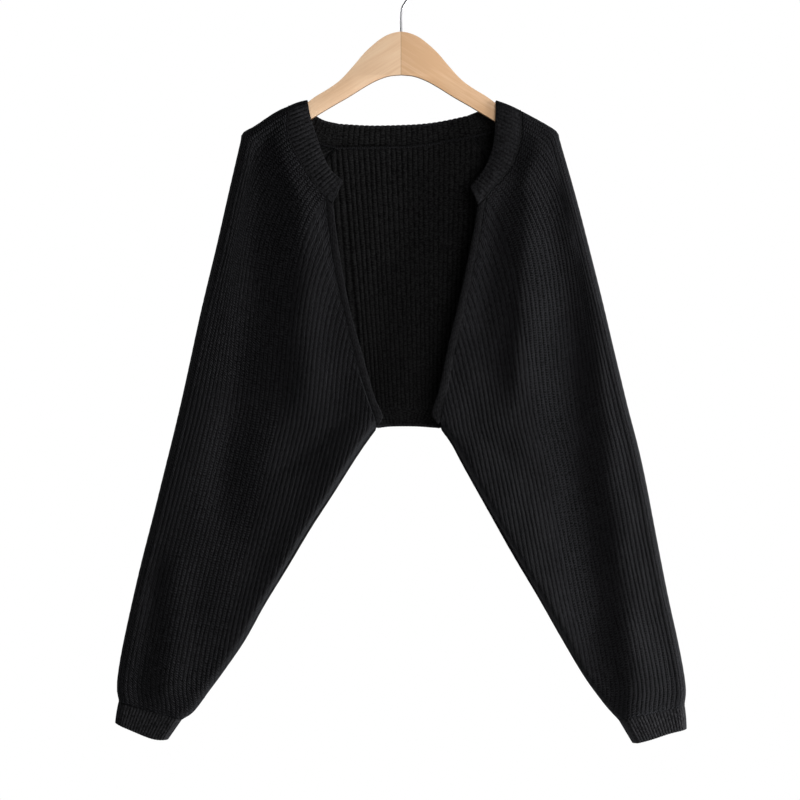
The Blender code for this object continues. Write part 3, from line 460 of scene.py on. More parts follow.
class Half:
    """The curves of one half of the garment, and the cloth's points worked out from them."""

    def __init__(self, side):
        self.side = side
        self.sign = 1 if side == "left" else -1
        spots = OUTLINES[side]
        self.paths = {name: Path(table) for name, table in spots.items()}
        self.edge = Path(spots["shoulder"] + spots["outer"][:-1])
        self.corner = np.array(spots["inner"][0], float)
        self.outer = self.paths["outer"].line
        self.inner = self.paths["inner"].line
        self.sleeve_top = self.corner[1]
        self.edge_share = self.share_of_edge(self.sleeve_top)
        self.corner_step = self.share_of_edge(spots["shoulder"][-1][1]) / self.edge_share
        self.sleeve_width = self.width(self.sleeve_top)
        self.cloth = cloth_over(self.sleeve_width)
        self.seams = {
            "front": (self.paths["band_seam"], self.paths["trim_seam"], FRONT_BAND_WALES),
            "back": (self.paths["back_band_seam"], self.paths["raglan"], BACK_BAND_WALES),
        }

    def share_of_edge(self, down):
        return np.interp(down, self.edge.line[:, 1], self.edge.run) / self.edge.length

    def outer_across(self, down):
        return np.interp(down, self.outer[:, 1], self.outer[:, 0])

    def inner_across(self, down):
        return np.interp(down, self.inner[:, 1], self.inner[:, 0])

    def width(self, down):
        return self.outer_across(down) - self.inner_across(down)

    def start_cloth(self, face, wale):
        band, _, band_wales = self.seams[face]
        return wale * cloth_over(band.length) / band_wales

    def start_spot(self, face, wale):
        """Where wales start: on the neckband's seam, or past its end on the next seam."""
        band, rest, band_wales = self.seams[face]
        near = self.start_cloth(face, np.minimum(wale, band_wales))
        on_band = band.at(fold_reach(near) / band.length)
        past = rest.at((np.maximum(wale, band_wales) - band_wales) / (SLEEVE_WALES - band_wales))
        return np.where((wale <= band_wales)[..., None], on_band, past)

    def sleeve_cloth(self, wale):
        return wale * self.cloth / SLEEVE_WALES

    def curve_spots(self, face, wale, step):
        """The upper stretch of wales as plain curves between their two ends."""
        start = self.start_spot(face, wale)
        across = self.outer_across(self.sleeve_top) - fold_reach(self.sleeve_cloth(wale))
        stop = pair(across, self.sleeve_top)
        chord = lengths(stop - start)[..., None]
        keep = from_table(wale, RIB_STARTS[face], 2)[..., None]
        leave = direction(from_table(wale, RIB_STARTS[face])) * chord * keep
        arrive = direction(from_table(wale, SLEEVE_SLOPES[face])) * chord
        step = step[..., None]
        square, cube = step ** 2, step ** 3
        return ((2 * cube - 3 * square + 1) * start + (cube - 2 * square + step) * leave
                + (3 * square - 2 * cube) * stop + (cube - square) * arrive)

    def upper_spots(self, face, wale, step):
        """The upper stretch of wales, which bends with the shoulder the more the nearer it is."""
        reach = fold_reach(self.sleeve_cloth(wale))
        edge, tight = self.rounded_edge(step, reach)
        share = (1 - reach / self.sleeve_width)[..., None]
        loose = self.curve_spots(face, wale, step)
        loose = loose + share ** EDGE_HOLD * (edge - self.curve_spots(face, 0 * wale[:1], step))
        blend = smoothstep(reach / FOLD_BLENDS[self.side])
        at_seam = smoothstep(1 - step / SEAM_HOLD)
        blend = (blend + (1 - blend) * at_seam)[..., None]
        return tight + blend * (loose - tight)

    def rounded_edge(self, step, reach):
        """The outer edge and the ribs beside it, rounded over a stretch that grows with the distance."""
        room = np.minimum(step, 1 - step)
        span = np.minimum(EDGE_EASE * reach / self.edge.length / self.edge_share, room)
        edge, tight = 0, 0
        for share in EASE_STEPS:
            place = step + span * share
            spots = self.edge.at(place * self.edge_share) / len(EASE_STEPS)
            edge = edge + spots
            tight = tight + spots + reach[..., None] * self.fold_side(place) / len(EASE_STEPS)
        return edge, tight

    def fold_side(self, step):
        return direction(from_table(step / self.corner_step, FOLD_TURN))

    def end_down(self, wale):
        """How far down wales run, to the cuff or to the underarm seam."""
        reach = fold_reach(self.sleeve_cloth(wale))
        downs = np.linspace(self.paths["cuff_top"].line[-1, 1], self.sleeve_top, 90)
        widths = self.width(downs)
        on_seam = np.interp(reach, widths, downs) + UNDERARM_DIP * (wale / SLEEVE_WALES) ** 4
        return np.where(reach >= widths[0], on_seam, self.paths["cuff_top"].at(reach / widths[0])[..., 1])

    def lower_spots(self, wale, step):
        down = self.sleeve_top + step * (self.end_down(wale) - self.sleeve_top)
        return pair(self.outer_across(down) - fold_reach(self.sleeve_cloth(wale)), down)

    def seam_distance(self, spots):
        """Distance of spots from the underarm seam."""
        above = lengths(spots - self.corner)
        below = np.maximum(spots[..., 0] - self.inner_across(spots[..., 1]), 0)
        return SEAM_SLANT * np.where(spots[..., 1] <= self.sleeve_top, above, below)

    def sleeve_places(self, face, wales):
        """Spots, depths, inward directions and facing of the sleeve's columns, row by row."""
        wale = wales[:, None]
        upper = np.linspace(0, 1, UPPER_COUNT)[None]
        lower = np.linspace(0, 1, LOWER_COUNT)[None, 1:]
        spots = np.concatenate([self.upper_spots(face, wale, upper), self.lower_spots(wale, lower)], 1)
        cloth = self.start_cloth(face, wale) * (1 - upper) + self.sleeve_cloth(wale) * upper
        cloth = np.concatenate([cloth, self.sleeve_cloth(wale) + 0 * lower], 1)
        inward = np.concatenate([self.fold_side(upper), direction(180 + 0 * lower)], 1)
        grown = np.concatenate([smoothstep(upper / CREASE_START), 1 + 0 * lower], 1)
        distance = self.seam_distance(spots)
        folds = fold_rise(self.side, face, spots)
        folds = folds + SLEEVE_WAVES * unevenness(spots, len(face) + self.sign)
        folds = folds * grown * smoothstep((cloth - FOLD_CLOTH) / CREASE_EASE) * parting(distance)
        depth = half_depth(face, spots[..., 1], distance) + folds
        angle = fold_angle(cloth)
        return spots, depth * np.sin(angle), inward * np.cos(angle)[..., None], np.sin(angle)

    def depth(self, face, spots):
        return half_depth(face, spots[..., 1], self.seam_distance(spots))

    def place(self, face, spots, depth):
        return world(spots * [self.sign, 1], FACES[face] * depth)


def layer(half, face, spots, depth, inward, facing, move):
    """Points moved out of the cloth's outer face, or into it where the move is negative.

    Those of an inner face stop short of the garment's middle.
    """
    move = np.broadcast_to(move, depth.shape)
    moved = depth + move * facing
    floor = np.where(facing < 1e-6, np.minimum(depth, LAYER_GAP), LAYER_GAP)
    moved = np.where(move < -1, np.maximum(moved, floor), moved)
    return half.place(face, spots - move[..., None] * inward, moved)


def fine_wales(count):
    """Fine columns across a number of ribs, in ribs."""
    wales = [wale + share for wale in range(count) for share in ACROSS_RIB]
    return np.array(wales + [count], float)


def runs(points):
    """Length run along each column of points."""
    gaps = np.linalg.norm(np.diff(points, axis=1), axis=-1)
    return np.concatenate([np.zeros((len(points), 1)), np.cumsum(gaps, 1)], 1)


def unit(vectors):
    return vectors / np.maximum(np.linalg.norm(vectors, axis=-1, keepdims=True), 1e-9)


def square_to(vectors, along):
    """The part of vectors that is square to unit vectors."""
    return vectors - (vectors * along).sum(-1, keepdims=True) * along


def pitch_share(points, wales):
    """Height share of ribs from the room that they have beside each other."""
    step = len(ACROSS_RIB)
    count = len(points)
    ahead = np.minimum(np.arange(count) + step // 2, count - 1)
    behind = np.maximum(np.arange(count) - step // 2, 0)
    spread = np.abs(wales[ahead] - wales[behind])[:, None, None]
    aside = (points[ahead] - points[behind]) / np.maximum(spread, 0.2)
    aside = square_to(aside, unit(np.gradient(points, axis=1)))
    return np.clip(np.linalg.norm(aside, axis=-1) / FULL_PITCH, 0.1, 1.0)


def calm_ends(run, least, top, bottom):
    """Share of its relief that a rib has, least at both ends of it."""
    return least + (1 - least) * smoothstep(run / top) * smoothstep((run[:, -1:] - run) / bottom)


def beads(run, wales, height):
    return height * np.sin(run * 2 * math.pi / BEAD_LENGTH + BEAD_TURN * np.floor(wales)[:, None])


def wander(run, wales, size, length, turn):
    return size * np.sin(run / length + turn * np.round(wales)[:, None])


def new_object(name, data):
    item = bpy.data.objects.new(name, data)
    bpy.context.scene.collection.objects.link(item)
    return item


def add_mesh(name, points, faces, uvs, inside=()):
    """Object from points in millimetres, faces and one stitch coordinate for each point.

    The faces numbered as inside take the second material.
    """
    mesh = bpy.data.meshes.new(name)
    mesh.from_pydata((np.asarray(points) * MM).tolist(), [], faces)
    corners = np.empty(len(mesh.loops), int)
    mesh.loops.foreach_get("vertex_index", corners)
    mesh.uv_layers.new(name="knit").data.foreach_set("uv", uvs[corners].ravel())
    sides = np.zeros(len(faces), int)
    sides[list(inside)] = 1
    mesh.polygons.foreach_set("material_index", sides)
    mesh.validate()
    face_outward(mesh)
    mesh.shade_smooth()
    return new_object(name, mesh)


def face_outward(mesh):
    work = bmesh.new()
    work.from_mesh(mesh)
    if work.calc_volume(signed=True) < 0:
        bmesh.ops.reverse_faces(work, faces=work.faces)
        work.to_mesh(mesh)
    work.free()


def grid_faces(grid, flip=False):
    """Four-sided faces of a grid of point numbers."""
    quads = np.stack([grid[:-1, :-1], grid[:-1, 1:], grid[1:, 1:], grid[1:, :-1]], -1).reshape(-1, 4)
    return (quads[:, ::-1] if flip else quads).tolist()


def shell(name, outer, inner, outer_uv, inner_uv, keep):
    """Closed cloth wall from grids of outer and inner points; the inside keeps only some rows."""
    columns, rows = outer.shape[:2]
    out = np.arange(columns * rows).reshape(columns, rows)
    ins = columns * rows + np.arange(columns * len(keep)).reshape(columns, len(keep))
    faces = grid_faces(out)
    inside_faces = range(len(faces), len(faces) + (columns - 1) * (len(keep) - 1))
    faces += grid_faces(ins, True)
    for row, kept in ((0, 0), (rows - 1, len(keep) - 1)):
        rim = np.stack([out[:, row], ins[:, kept]], 1)
        faces += grid_faces(rim, flip=row == 0)
    for column in (0, columns - 1):
        for number, (start, stop) in enumerate(zip(keep, keep[1:])):
            fan = list(out[column, start:stop + 1]) + [ins[column, number + 1], ins[column, number]]
            faces.append([int(index) for index in (fan if column else fan[::-1])])
    points = np.concatenate([outer.reshape(-1, 3), inner[:, keep].reshape(-1, 3)])
    uvs = np.concatenate([outer_uv.reshape(-1, 2), inner_uv[:, keep].reshape(-1, 2)])
    return add_mesh(name, points, faces, uvs, inside_faces)


def kept_rows(rows, step):
    return sorted(set(range(0, rows, step)) | {rows - 1})


def join_faces(front, back):
    """Columns of both faces side by side, with the one on the outer fold only once."""
    return np.concatenate([front[::-1], back[1:]])


def make_sleeve(half):
    """Front, sleeve and back of one side in one shell, open at the underarm seam."""
    wales = fine_wales(SLEEVE_WALES)
    ribs = rib_shape(wales)[:, None]
    faces = []
    for face in FACES:
        spots, depth, inward, facing = half.sleeve_places(face, wales)
        base = half.place(face, spots, depth)
        run = runs(base)
        height = pitch_share(base, wales)
        calm = calm_ends(run, *SLEEVE_CALM)
        rise = (RIB_BASE + RIB_HEIGHT * ribs) * height * calm
        rise = rise + beads(run, wales, SLEEVE_BEADS) * ribs * calm
        aside = wander(run, wales, *SLEEVE_WANDER)
        spots = spots + pair(aside * facing * calm, 0 * aside)
        outer = layer(half, face, spots, depth, inward, facing, rise)
        inner_ribs = INNER_HEIGHT * (1 - ribs) * height * calm
        inner = layer(half, face, spots, depth, inward, facing, INNER_HEIGHT - WALL - inner_ribs)
        faces.append((outer, inner, pair(-FACES[face] * wales[:, None], run / STITCH)))
    outer, inner, uv = (join_faces(*both) for both in zip(*faces))
    keep = kept_rows(outer.shape[1], INNER_STEP)
    return shell(half.side + "_front_and_sleeve_knit", outer, inner, uv, uv + np.array([0.5, 0.0]), keep)


def tube(name, rings, uv, inside=()):
    """Closed tube from its rings of points, with a cap on each end."""
    columns, count = rings.shape[:2]
    ids = np.arange(columns * count).reshape(columns, count)
    faces = grid_faces(np.concatenate([ids, ids[:, :1]], 1))
    faces += [ids[0][::-1].tolist(), ids[-1].tolist()]
    return add_mesh(name, rings.reshape(-1, 3), faces, uv.reshape(-1, 2), inside)


def band_loops(outer, inner):
    """Closed sections of a band: outer points, a round free edge, and inner points back."""
    edge = unit(outer[:, -1] - outer[:, -2])
    middle = (outer[:, -1] + inner[:, -1]) / 2
    half = (outer[:, -1] - inner[:, -1]) / 2
    size = np.linalg.norm(half, axis=-1, keepdims=True)
    turn = [middle + half * math.cos(angle) + edge * size * math.sin(angle)
            for angle in np.radians((30, 60, 90, 120, 150))]
    return np.concatenate([outer, np.stack(turn, 1), inner[:, ::-1]], 1)


def band(name, outer, inner, wales):
    """A closed band from its columns of outer and inner points."""
    loops = band_loops(outer, inner)
    columns, count = loops.shape[:2]
    inside = [number for number in range((columns - 1) * count) if number % count > count - inner.shape[1]]
    return tube(name, loops, pair(wales[:, None], runs(loops) / STITCH), inside)


def band_shares(kind):
    """Places across a band, and the share of its relief that a rib has at each."""
    shares = np.linspace(0, 1, BAND_ROWS[kind])
    return shares, RISE_FROM + (1 - RISE_FROM) * smoothstep(shares / BAND_RISE[kind])


def crown(kind, shares):
    return CROWNS[kind] * np.sin(math.pi * shares)


def between(start, stop, shares):
    """Spots at shares of the way from a row of spots to another."""
    return start[:, None] + shares[None, :, None] * (stop - start)[:, None]


def neckband_spots(start, stop, shares):
    """Spots across the neckband, which laps over its seam."""
    run = stop - start
    return between(start + SEAM_GAP * run / lengths(run)[:, None], stop, shares)


def band_cross(half, face, wales, start, stop, cloth, plain):
    """Outer and inner points of the neckband's columns on one face."""
    shares, rise = band_shares("neckband")
    spots = neckband_spots(start, stop, shares)
    angle = fold_angle(cloth)[:, None]
    inward = (direction(SHOULDER_TURN)[None] * np.cos(angle))[:, None] + 0 * spots
    depth = half.depth(face, spots) * np.sin(angle)
    facing = np.sin(angle) + 0 * depth
    lean = BAND_LEAN * shares ** 2 * facing
    ribs = rib_shape(wales)[:, None]
    outer_move = crown("neckband", shares) - lean + (RIB_BASE + RIB_HEIGHT * ribs) * plain[:, None] * rise
    inner_move = -BAND_WALL - lean + BAND_INNER_HEIGHT * ribs * plain[:, None] * rise
    return [layer(half, face, spots, depth, inward, facing, move) for move in (outer_move, inner_move)]


def face_band(half, face):
    """Columns of the neckband from the shoulder's top down one face, and on to its tip at the front."""
    edge = half.paths["band_edge" if face == "front" else "back_band_edge"]
    count = half.seams[face][2]
    wales = fine_wales(count)
    cloth = half.start_cloth(face, wales)
    start = half.start_spot(face, wales)
    stop = edge.at(fold_reach(wales * cloth_over(edge.length) / count) / edge.length)
    plain = np.ones_like(wales)
    if face == "front":
        steps = np.linspace(0, 1, TIP_STEPS + 1)[1:]
        last = half.paths["front_edge"].at(0) - np.array([0.0, TIP_OVERLAP])
        start = np.vstack([start, start[-1] + steps[:, None] * (last - start[-1])])
        stop = np.vstack([stop, stop[-1] + steps[:, None] * np.array(TIP_SLANT)])
        wales = np.concatenate([wales, count + steps])
        cloth = np.concatenate([cloth, cloth[-1] + 0 * steps])
        plain = smoothstep((count - 0.5 - wales) / TIP_FADE)
    outer, inner = band_cross(half, face, wales, start, stop, cloth, plain)
    return outer, inner, wales


def back_neck_band():
    """Columns of the neckband along the back neck."""
    shares, rise = band_shares("neckband")
    wales = fine_wales(BACK_NECK_WALES)
    place = wales / BACK_NECK_WALES
    spots = neckband_spots(Path(NECK_SEAM).at(place), Path(NECK_EDGE).at(place), shares)
    depth = from_table(spots[..., 1], DEPTH_ROWS, 2)
    ribs = rib_shape(wales)[:, None] * rise
    outer = world(spots, depth + crown("back_neck", shares) + RIB_BASE + RIB_HEIGHT * ribs)
    inner = world(spots, depth - BAND_WALL + NECK_INNER_BASE - RIB_HEIGHT * ribs)
    return outer, inner, wales


def turned(outer, inner, wales):
    """A stretch of the neckband in the opposite order."""
    return outer[::-1], inner[::-1], wales[-1] - wales[::-1]


def make_neckband(halves):
    """One band round the neck, from one front's tip over both shoulders to the other front's."""
    right, left = halves["right"], halves["left"]
    stretches = (turned(*face_band(right, "front")), face_band(right, "back"), back_neck_band(),
                 turned(*face_band(left, "back")), face_band(left, "front"))
    outs, ins, lanes, lane = [], [], [], 0.0
    for number, (outer, inner, wales) in enumerate(stretches):
        first = 1 if number else 0
        outs.append(outer[first:])
        ins.append(inner[first:])
        lanes.append(wales[first:] + lane)
        lane += wales[-1]
    return band("neckband_knit", np.concatenate(outs), np.concatenate(ins), np.concatenate(lanes))


def back_depth(halves, across, down):
    """Half depth of the back between both underarm corners."""
    depth = from_table(down, DEPTH_ROWS, 2) - RIM_HALF
    for half in halves.values():
        spots = pair(half.sign * across, np.minimum(down, half.sleeve_top))
        depth = depth * parting(half.seam_distance(spots))
    return RIM_HALF + depth


def back_ends(halves, wales):
    """Both ends of the back's ribs: on the neckband and the hem, and beside them on the raglan seams."""
    raglans = {side: half.paths["raglan"].shifted(-RAGLAN_GAP) for side, half in halves.items()}
    widest = {side: np.argmax(path.line[:, 0]) / (len(path.line) - 1) for side, path in raglans.items()}
    last = wales[-1]
    ends = []
    for middle, lost, end in ((Path(NECK_SEAM).shifted(-SEAM_GAP), 0, 0.0),
                              (Path(HEM_TOP), BACK_LOST_WALES, HEM_SHARE)):
        side_wales = BACK_SIDE_WALES + lost
        spots = middle.at(np.clip((wales - side_wales) / (last - 2 * side_wales), 0, 1))
        for side, own in (("right", wales), ("left", last - wales)):
            beside = own < side_wales
            share = RAGLAN_INSET + (1 - RAGLAN_INSET) * own[beside] / side_wales
            found = raglans[side].at(widest[side] + (end - widest[side]) * share)
            spots[beside] = found * [halves[side].sign, 1]
        ends.append(spots[:, None])
    return ends


def make_back(halves):
    """Back panel: ribs on both faces, from the neckband to the hem and between the raglan seams."""
    wales = fine_wales(2 * BACK_SIDE_WALES + BACK_NECK_WALES)
    top, bottom = back_ends(halves, wales)
    steps = np.linspace(0, 1, BACK_COUNT)[None, :, None]
    spots = top * (1 - steps) + bottom * steps
    depth = back_depth(halves, spots[..., 0], spots[..., 1])
    depth = depth + BACK_WAVES * unevenness(spots, 11) * smoothstep((depth - 4) / 6)
    base = world(spots, depth)
    run = runs(base)
    height = pitch_share(base, wales)
    calm = calm_ends(run, *BACK_CALM)
    ribs = rib_shape(wales)[:, None] * height * calm
    aside = wander(run, wales, *BACK_WANDER) * calm
    relief = BACK_HEIGHT * ribs
    swell = beads(run, wales, BACK_BEADS) * ribs
    outer = base + np.stack([aside, RIB_BASE * height + relief + swell, 0 * run], -1)
    inner = base + np.stack([aside, -WALL + BACK_INNER_BASE * height - relief - swell, 0 * run], -1)
    uv = pair(wales[:, None], run / STITCH)
    return shell("back_panel_knit", outer, inner, uv, uv, list(range(BACK_COUNT)))


def make_hem(halves):
    """Hem band of the back, between the two underarm corners."""
    shares, rise = band_shares("hem")
    wales = fine_wales(HEM_RIBS)
    place = HEM_INSET + (1 - 2 * HEM_INSET) * wales / HEM_RIBS
    start = Path(HEM_TOP).at(place) + [0, SEAM_GAP]
    spots = between(start, Path(HEM_BOTTOM).at(place), shares)
    depth = back_depth(halves, spots[..., 0], spots[..., 1])
    ribs = HEM_HEIGHT * (rib_shape(wales)[:, None] * rise)
    inner = world(spots, np.maximum(depth - BAND_WALL - ribs, LAYER_GAP))
    return band("hem_band_knit", world(spots, depth + ribs), inner, wales)


def make_trim(half):
    """Narrow ribbed trim down a front edge, from the neckband's end round to the underarm."""
    shares, rise = band_shares("trim")
    wales = fine_wales(TRIM_RIBS)
    place = wales / TRIM_RIBS
    start = half.paths["trim_seam"].shifted(-SEAM_GAP).at(place)
    spots = between(start, half.paths["front_edge"].at(place), shares)
    depth = half.depth("front", spots)
    ribs = rib_shape(wales)[:, None] * rise
    outer = half.place("front", spots, depth + crown("trim", shares) + TRIM_HEIGHT * ribs)
    inner_depth = np.maximum(depth - BAND_WALL - TRIM_INNER_HEIGHT * ribs, LAYER_GAP)
    return band(half.side + "_front_trim_knit", outer, half.place("front", spots, inner_depth), wales)


def cuff_depth(half, face, spots, distance):
    """Half depth of a cuff, which carries the sleeve's folds on, at a distance from the underarm seam."""
    full = from_table(spots[..., 1], DEPTH_ROWS, 1) - CUFF_EASE + fold_rise(half.side, face, spots)
    return RIM_HALF + (full - RIM_HALF) * parting(distance)


def make_cuff(half):
    """Ribbed cuff, open at the underarm seam and at its mouth."""
    top, bottom = half.paths["cuff_top"], half.paths["cuff_bottom"]
    shares, rise = band_shares("cuff")
    wales = fine_wales(CUFF_RIBS)
    ribs = rib_shape(wales)[:, None] * rise
    length = top.length * (1 - shares) + bottom.length * shares
    cloth = cloth_over(length)[None] * wales[:, None] / CUFF_RIBS
    place = fold_reach(cloth) / length
    upper = top.at(place) + [0, SEAM_GAP]
    spots = upper * (1 - shares)[None, :, None] + bottom.at(place) * shares[None, :, None]
    facing = np.sin(fold_angle(cloth))
    inward = direction(180)[None, None] * np.cos(fold_angle(cloth))[..., None]
    moves = (crown("cuff", shares) + RIB_BASE + RIB_HEIGHT * ribs,
             -BAND_WALL - BAND_INNER_HEIGHT * (1 - ribs))
    faces = []
    for face in FACES:
        depth = cuff_depth(half, face, spots, (1 - place) * length) * facing
        faces.append([layer(half, face, spots, depth, inward, facing, move) for move in moves])
    outer, inner = (join_faces(*both) for both in zip(*faces))
    return band(half.side + "_cuff_knit", outer, inner, join_faces(wales, -wales))


def stitch_row(name, kind, line, normals):
    """A chain of linked stitches along a line of points: a thin cord that swells at each stitch."""
    pitch, width, height, lean = STITCH_ROWS[kind]
    gaps = runs(line[None])[0]
    count = max(int(gaps[-1] / pitch), 2) * CHAIN_STEPS
    run = np.linspace(0, gaps[-1], count + 1)
    places, normal = read_rows(run, gaps, line), read_rows(run, gaps, normals)
    along = unit(np.gradient(places, axis=0))
    normal = unit(square_to(normal, along))
    aside = np.cross(along, normal)
    swell = (CHAIN_THICKNESS + CHAIN_SWELL * np.cos(run * 2 * math.pi / pitch))[:, None, None]
    shift = lean * width / 2 * np.sin(run * math.pi / pitch)[:, None, None]
    angles = np.radians(np.arange(CHAIN_SIDES) * 360 / CHAIN_SIDES)[None, :, None]
    ring = places[:, None] + aside[:, None] * (width / 2 * np.cos(angles) * swell + shift)
    ring = ring + normal[:, None] * height / 2 * np.sin(angles) * swell
    return tube(name, ring, pair(0.5 + 0.35 * np.cos(angles[..., 0]), (run / STITCH)[:, None]))


def depthwise(side, count):
    """Normals that point to the front or back."""
    return np.tile([0.0, side, 0.0], (count, 1))


def seam_stitches(half, kind, face, spots):
    """Linking stitches along spots of a face."""
    line = half.place(face, spots, half.depth(face, spots) + SEAM_OUT[kind])
    return stitch_row(half.side + "_" + kind + "_stitches", kind, line, depthwise(FACES[face], len(spots)))


def folded_line(half, kind, face, spots, depth, cloth, turn):
    """World line of a seam on one face with its normals, bent round the outer fold."""
    angle = fold_angle(cloth)
    inward = direction(turn)[None] * np.cos(angle)[:, None]
    line = layer(half, face, spots, depth * np.sin(angle), inward, np.sin(angle), SEAM_OUT[kind])
    return line, half.place(face, -inward, np.sin(angle))


def folded_stitches(half, kind, lines):
    """Linking stitches along a seam's two folded lines, front and back."""
    line, normals = (join_faces(*both) for both in zip(*lines))
    return stitch_row(half.side + "_" + kind + "_stitches", kind, line, normals)


def make_neck_stitches(half):
    """Linking stitches between the neckband and a front, over the shoulder and on to the raglan."""
    lines = []
    for face in FACES:
        wales = np.linspace(0, half.seams[face][2], 70)
        spots = half.start_spot(face, wales)
        cloth = half.start_cloth(face, wales)
        lines.append(folded_line(half, "neck", face, spots, half.depth(face, spots), cloth, SHOULDER_TURN))
    return folded_stitches(half, "neck", lines)


def make_cuff_stitches(half):
    """Linking stitches round the top of a cuff."""
    top = half.paths["cuff_top"]
    cloth = cloth_over(top.length) * np.linspace(0, 1, 90)
    reach = fold_reach(cloth)
    spots = top.at(reach / top.length) + [0, SEAM_GAP / 2]
    depths = {face: cuff_depth(half, face, spots, top.length - reach) for face in FACES}
    lines = [folded_line(half, "cuff", face, spots, depth, cloth, 180) for face, depth in depths.items()]
    return folded_stitches(half, "cuff", lines)


def make_raglan_stitches(half):
    """Linking stitches down a raglan seam, on the back."""
    spots = half.paths["raglan"].shifted(-RAGLAN_GAP / 2).at(np.linspace(0.0, 0.985, 160))
    return seam_stitches(half, "raglan", "back", spots)


def make_trim_stitches(half):
    """Linking stitches between a front and its trim."""
    spots = half.paths["trim_seam"].shifted(-SEAM_GAP / 2).at(np.linspace(0.0, 0.99, 120))
    return seam_stitches(half, "trim", "front", spots)


def make_underarm_stitches(half):
    """Stitches that close the underarm seam between the two layers of a sleeve."""
    downs = np.linspace(half.sleeve_top + 3, half.paths["cuff_top"].line[-1, 1], 220)
    line = half.place("front", pair(half.inner_across(downs) + SEAM_OUT["underarm"], downs), 0 * downs)
    normals = np.cross(np.gradient(line, axis=0), [0.0, 1.0, 0.0]) * half.sign
    return stitch_row(half.side + "_underarm_stitches", "underarm", line, normals)


def make_neck_linking(halves):
    """The rolled linking edge of the back neck, on the inside, on past both raglan seams."""
    shares = np.linspace(0.35, 0.99, 40)
    right, left = (halves[side].paths["back_band_seam"].at(shares) * [halves[side].sign, 1]
                   for side in ("right", "left"))
    spots = np.concatenate([right, Path(NECK_SEAM).at(np.linspace(0.01, 0.99, 120)), left[::-1]])
    deeper, lower = LINKING_PLACE
    line = world(spots, from_table(spots[:, 1], DEPTH_ROWS, 2) - WALL - deeper) - [0, 0, lower]
    return stitch_row("neck_linking", "linking", line, depthwise(-1.0, len(spots)))


def make_hem_stitches(halves):
    """Linking stitches between the back and its hem band, on both faces."""
    spots = Path(HEM_TOP).at(np.linspace(0.01, 0.99, 60)) + [0, SEAM_GAP / 2]
    depth = back_depth(halves, spots[:, 0], spots[:, 1])
    return [stitch_row(name, "hem", world(spots, depth + move), depthwise(side, len(spots)))
            for name, move, side in HEM_STITCHES]


def new_curve(name, dimensions, points):
    """Curve that runs straight from point to point, with the spline in it."""
    curve = bpy.data.curves.new(name, "CURVE")
    curve.dimensions = dimensions
    spline = curve.splines.new("POLY")
    spline.points.add(len(points) - 1)
    for spot, place in zip(spline.points, np.asarray(points) * MM):
        spot.co = (*place, 1)
    return curve, spline


def wood_outline():
    """The hanger's flat outline, down one arm and back, and the same mirrored."""
    one_side = np.concatenate([Path(table, 6).line for table in (WOOD_TOP, WOOD_TIP, WOOD_BOTTOM)])
    apart = lengths(np.diff(one_side, axis=0)) > LEAST_STEP
    one_side = one_side[np.concatenate([[True], apart])]
    return np.concatenate([one_side, one_side[-2:0:-1] * [-1, 1]]) * [1, -1]


def make_wood():
    """Shaped wooden hanger: two arms cut from flat stock, with well rounded edges."""
    curve, spline = new_curve("hanger_wood_outline", "2D", np.insert(wood_outline(), 2, 0, axis=1))
    spline.use_cyclic_u = True
    curve.fill_mode = "BOTH"
    curve.extrude = WOOD_THICKNESS / 2 * MM
    drawn = new_object(curve.name, curve)
    drawn.rotation_euler = (math.pi / 2, 0, 0)
    bpy.context.view_layer.update()
    mesh = bpy.data.meshes.new_from_object(drawn.evaluated_get(bpy.context.evaluated_depsgraph_get()))
    mesh.transform(drawn.matrix_world)
    bpy.data.objects.remove(drawn)
    item = new_object("hanger_wood_grained", mesh)
    work = bmesh.new()
    work.from_mesh(mesh)
    bmesh.ops.remove_doubles(work, verts=work.verts, dist=0.00001)
    work.to_mesh(mesh)
    work.free()
    bevel = item.modifiers.new("rounded edges", "BEVEL")
    bevel.width = WOOD_BEVEL * MM
    bevel.segments = 6
    bevel.limit_method = "ANGLE"
    bevel.angle_limit = math.radians(60)
    mesh.shade_smooth()
    return item


def make_hook():
    """Wire hook: a straight stem, a bend, and a ring open on the wearer's right."""
    angles = np.radians(np.linspace(HOOK_START, HOOK_END, HOOK_STEPS))
    ring = HOOK_RADIUS * np.column_stack([np.cos(angles), np.sin(angles)])
    ring[:, 1] -= HOOK_RADIUS - WIRE_RADIUS
    bend = Path([(0.0, -STEM_BEND), (STEM_LEAN[0], -STEM_BEND + STEM_LEAN[1]), ring[0]], 7).line[1:-1]
    route = np.concatenate([[(0.0, -WOOD_TOP[0][1] + STEM_GAP), (0.0, -STEM_BEND)], bend, ring])
    curve, spline = new_curve("hanger_hook_wire", "3D", np.insert(route, 1, 0, axis=1))
    spline.use_smooth = True
    curve.bevel_depth = WIRE_RADIUS * MM
    curve.bevel_resolution = 5
    curve.use_fill_caps = True
    return new_object(curve.name, curve)


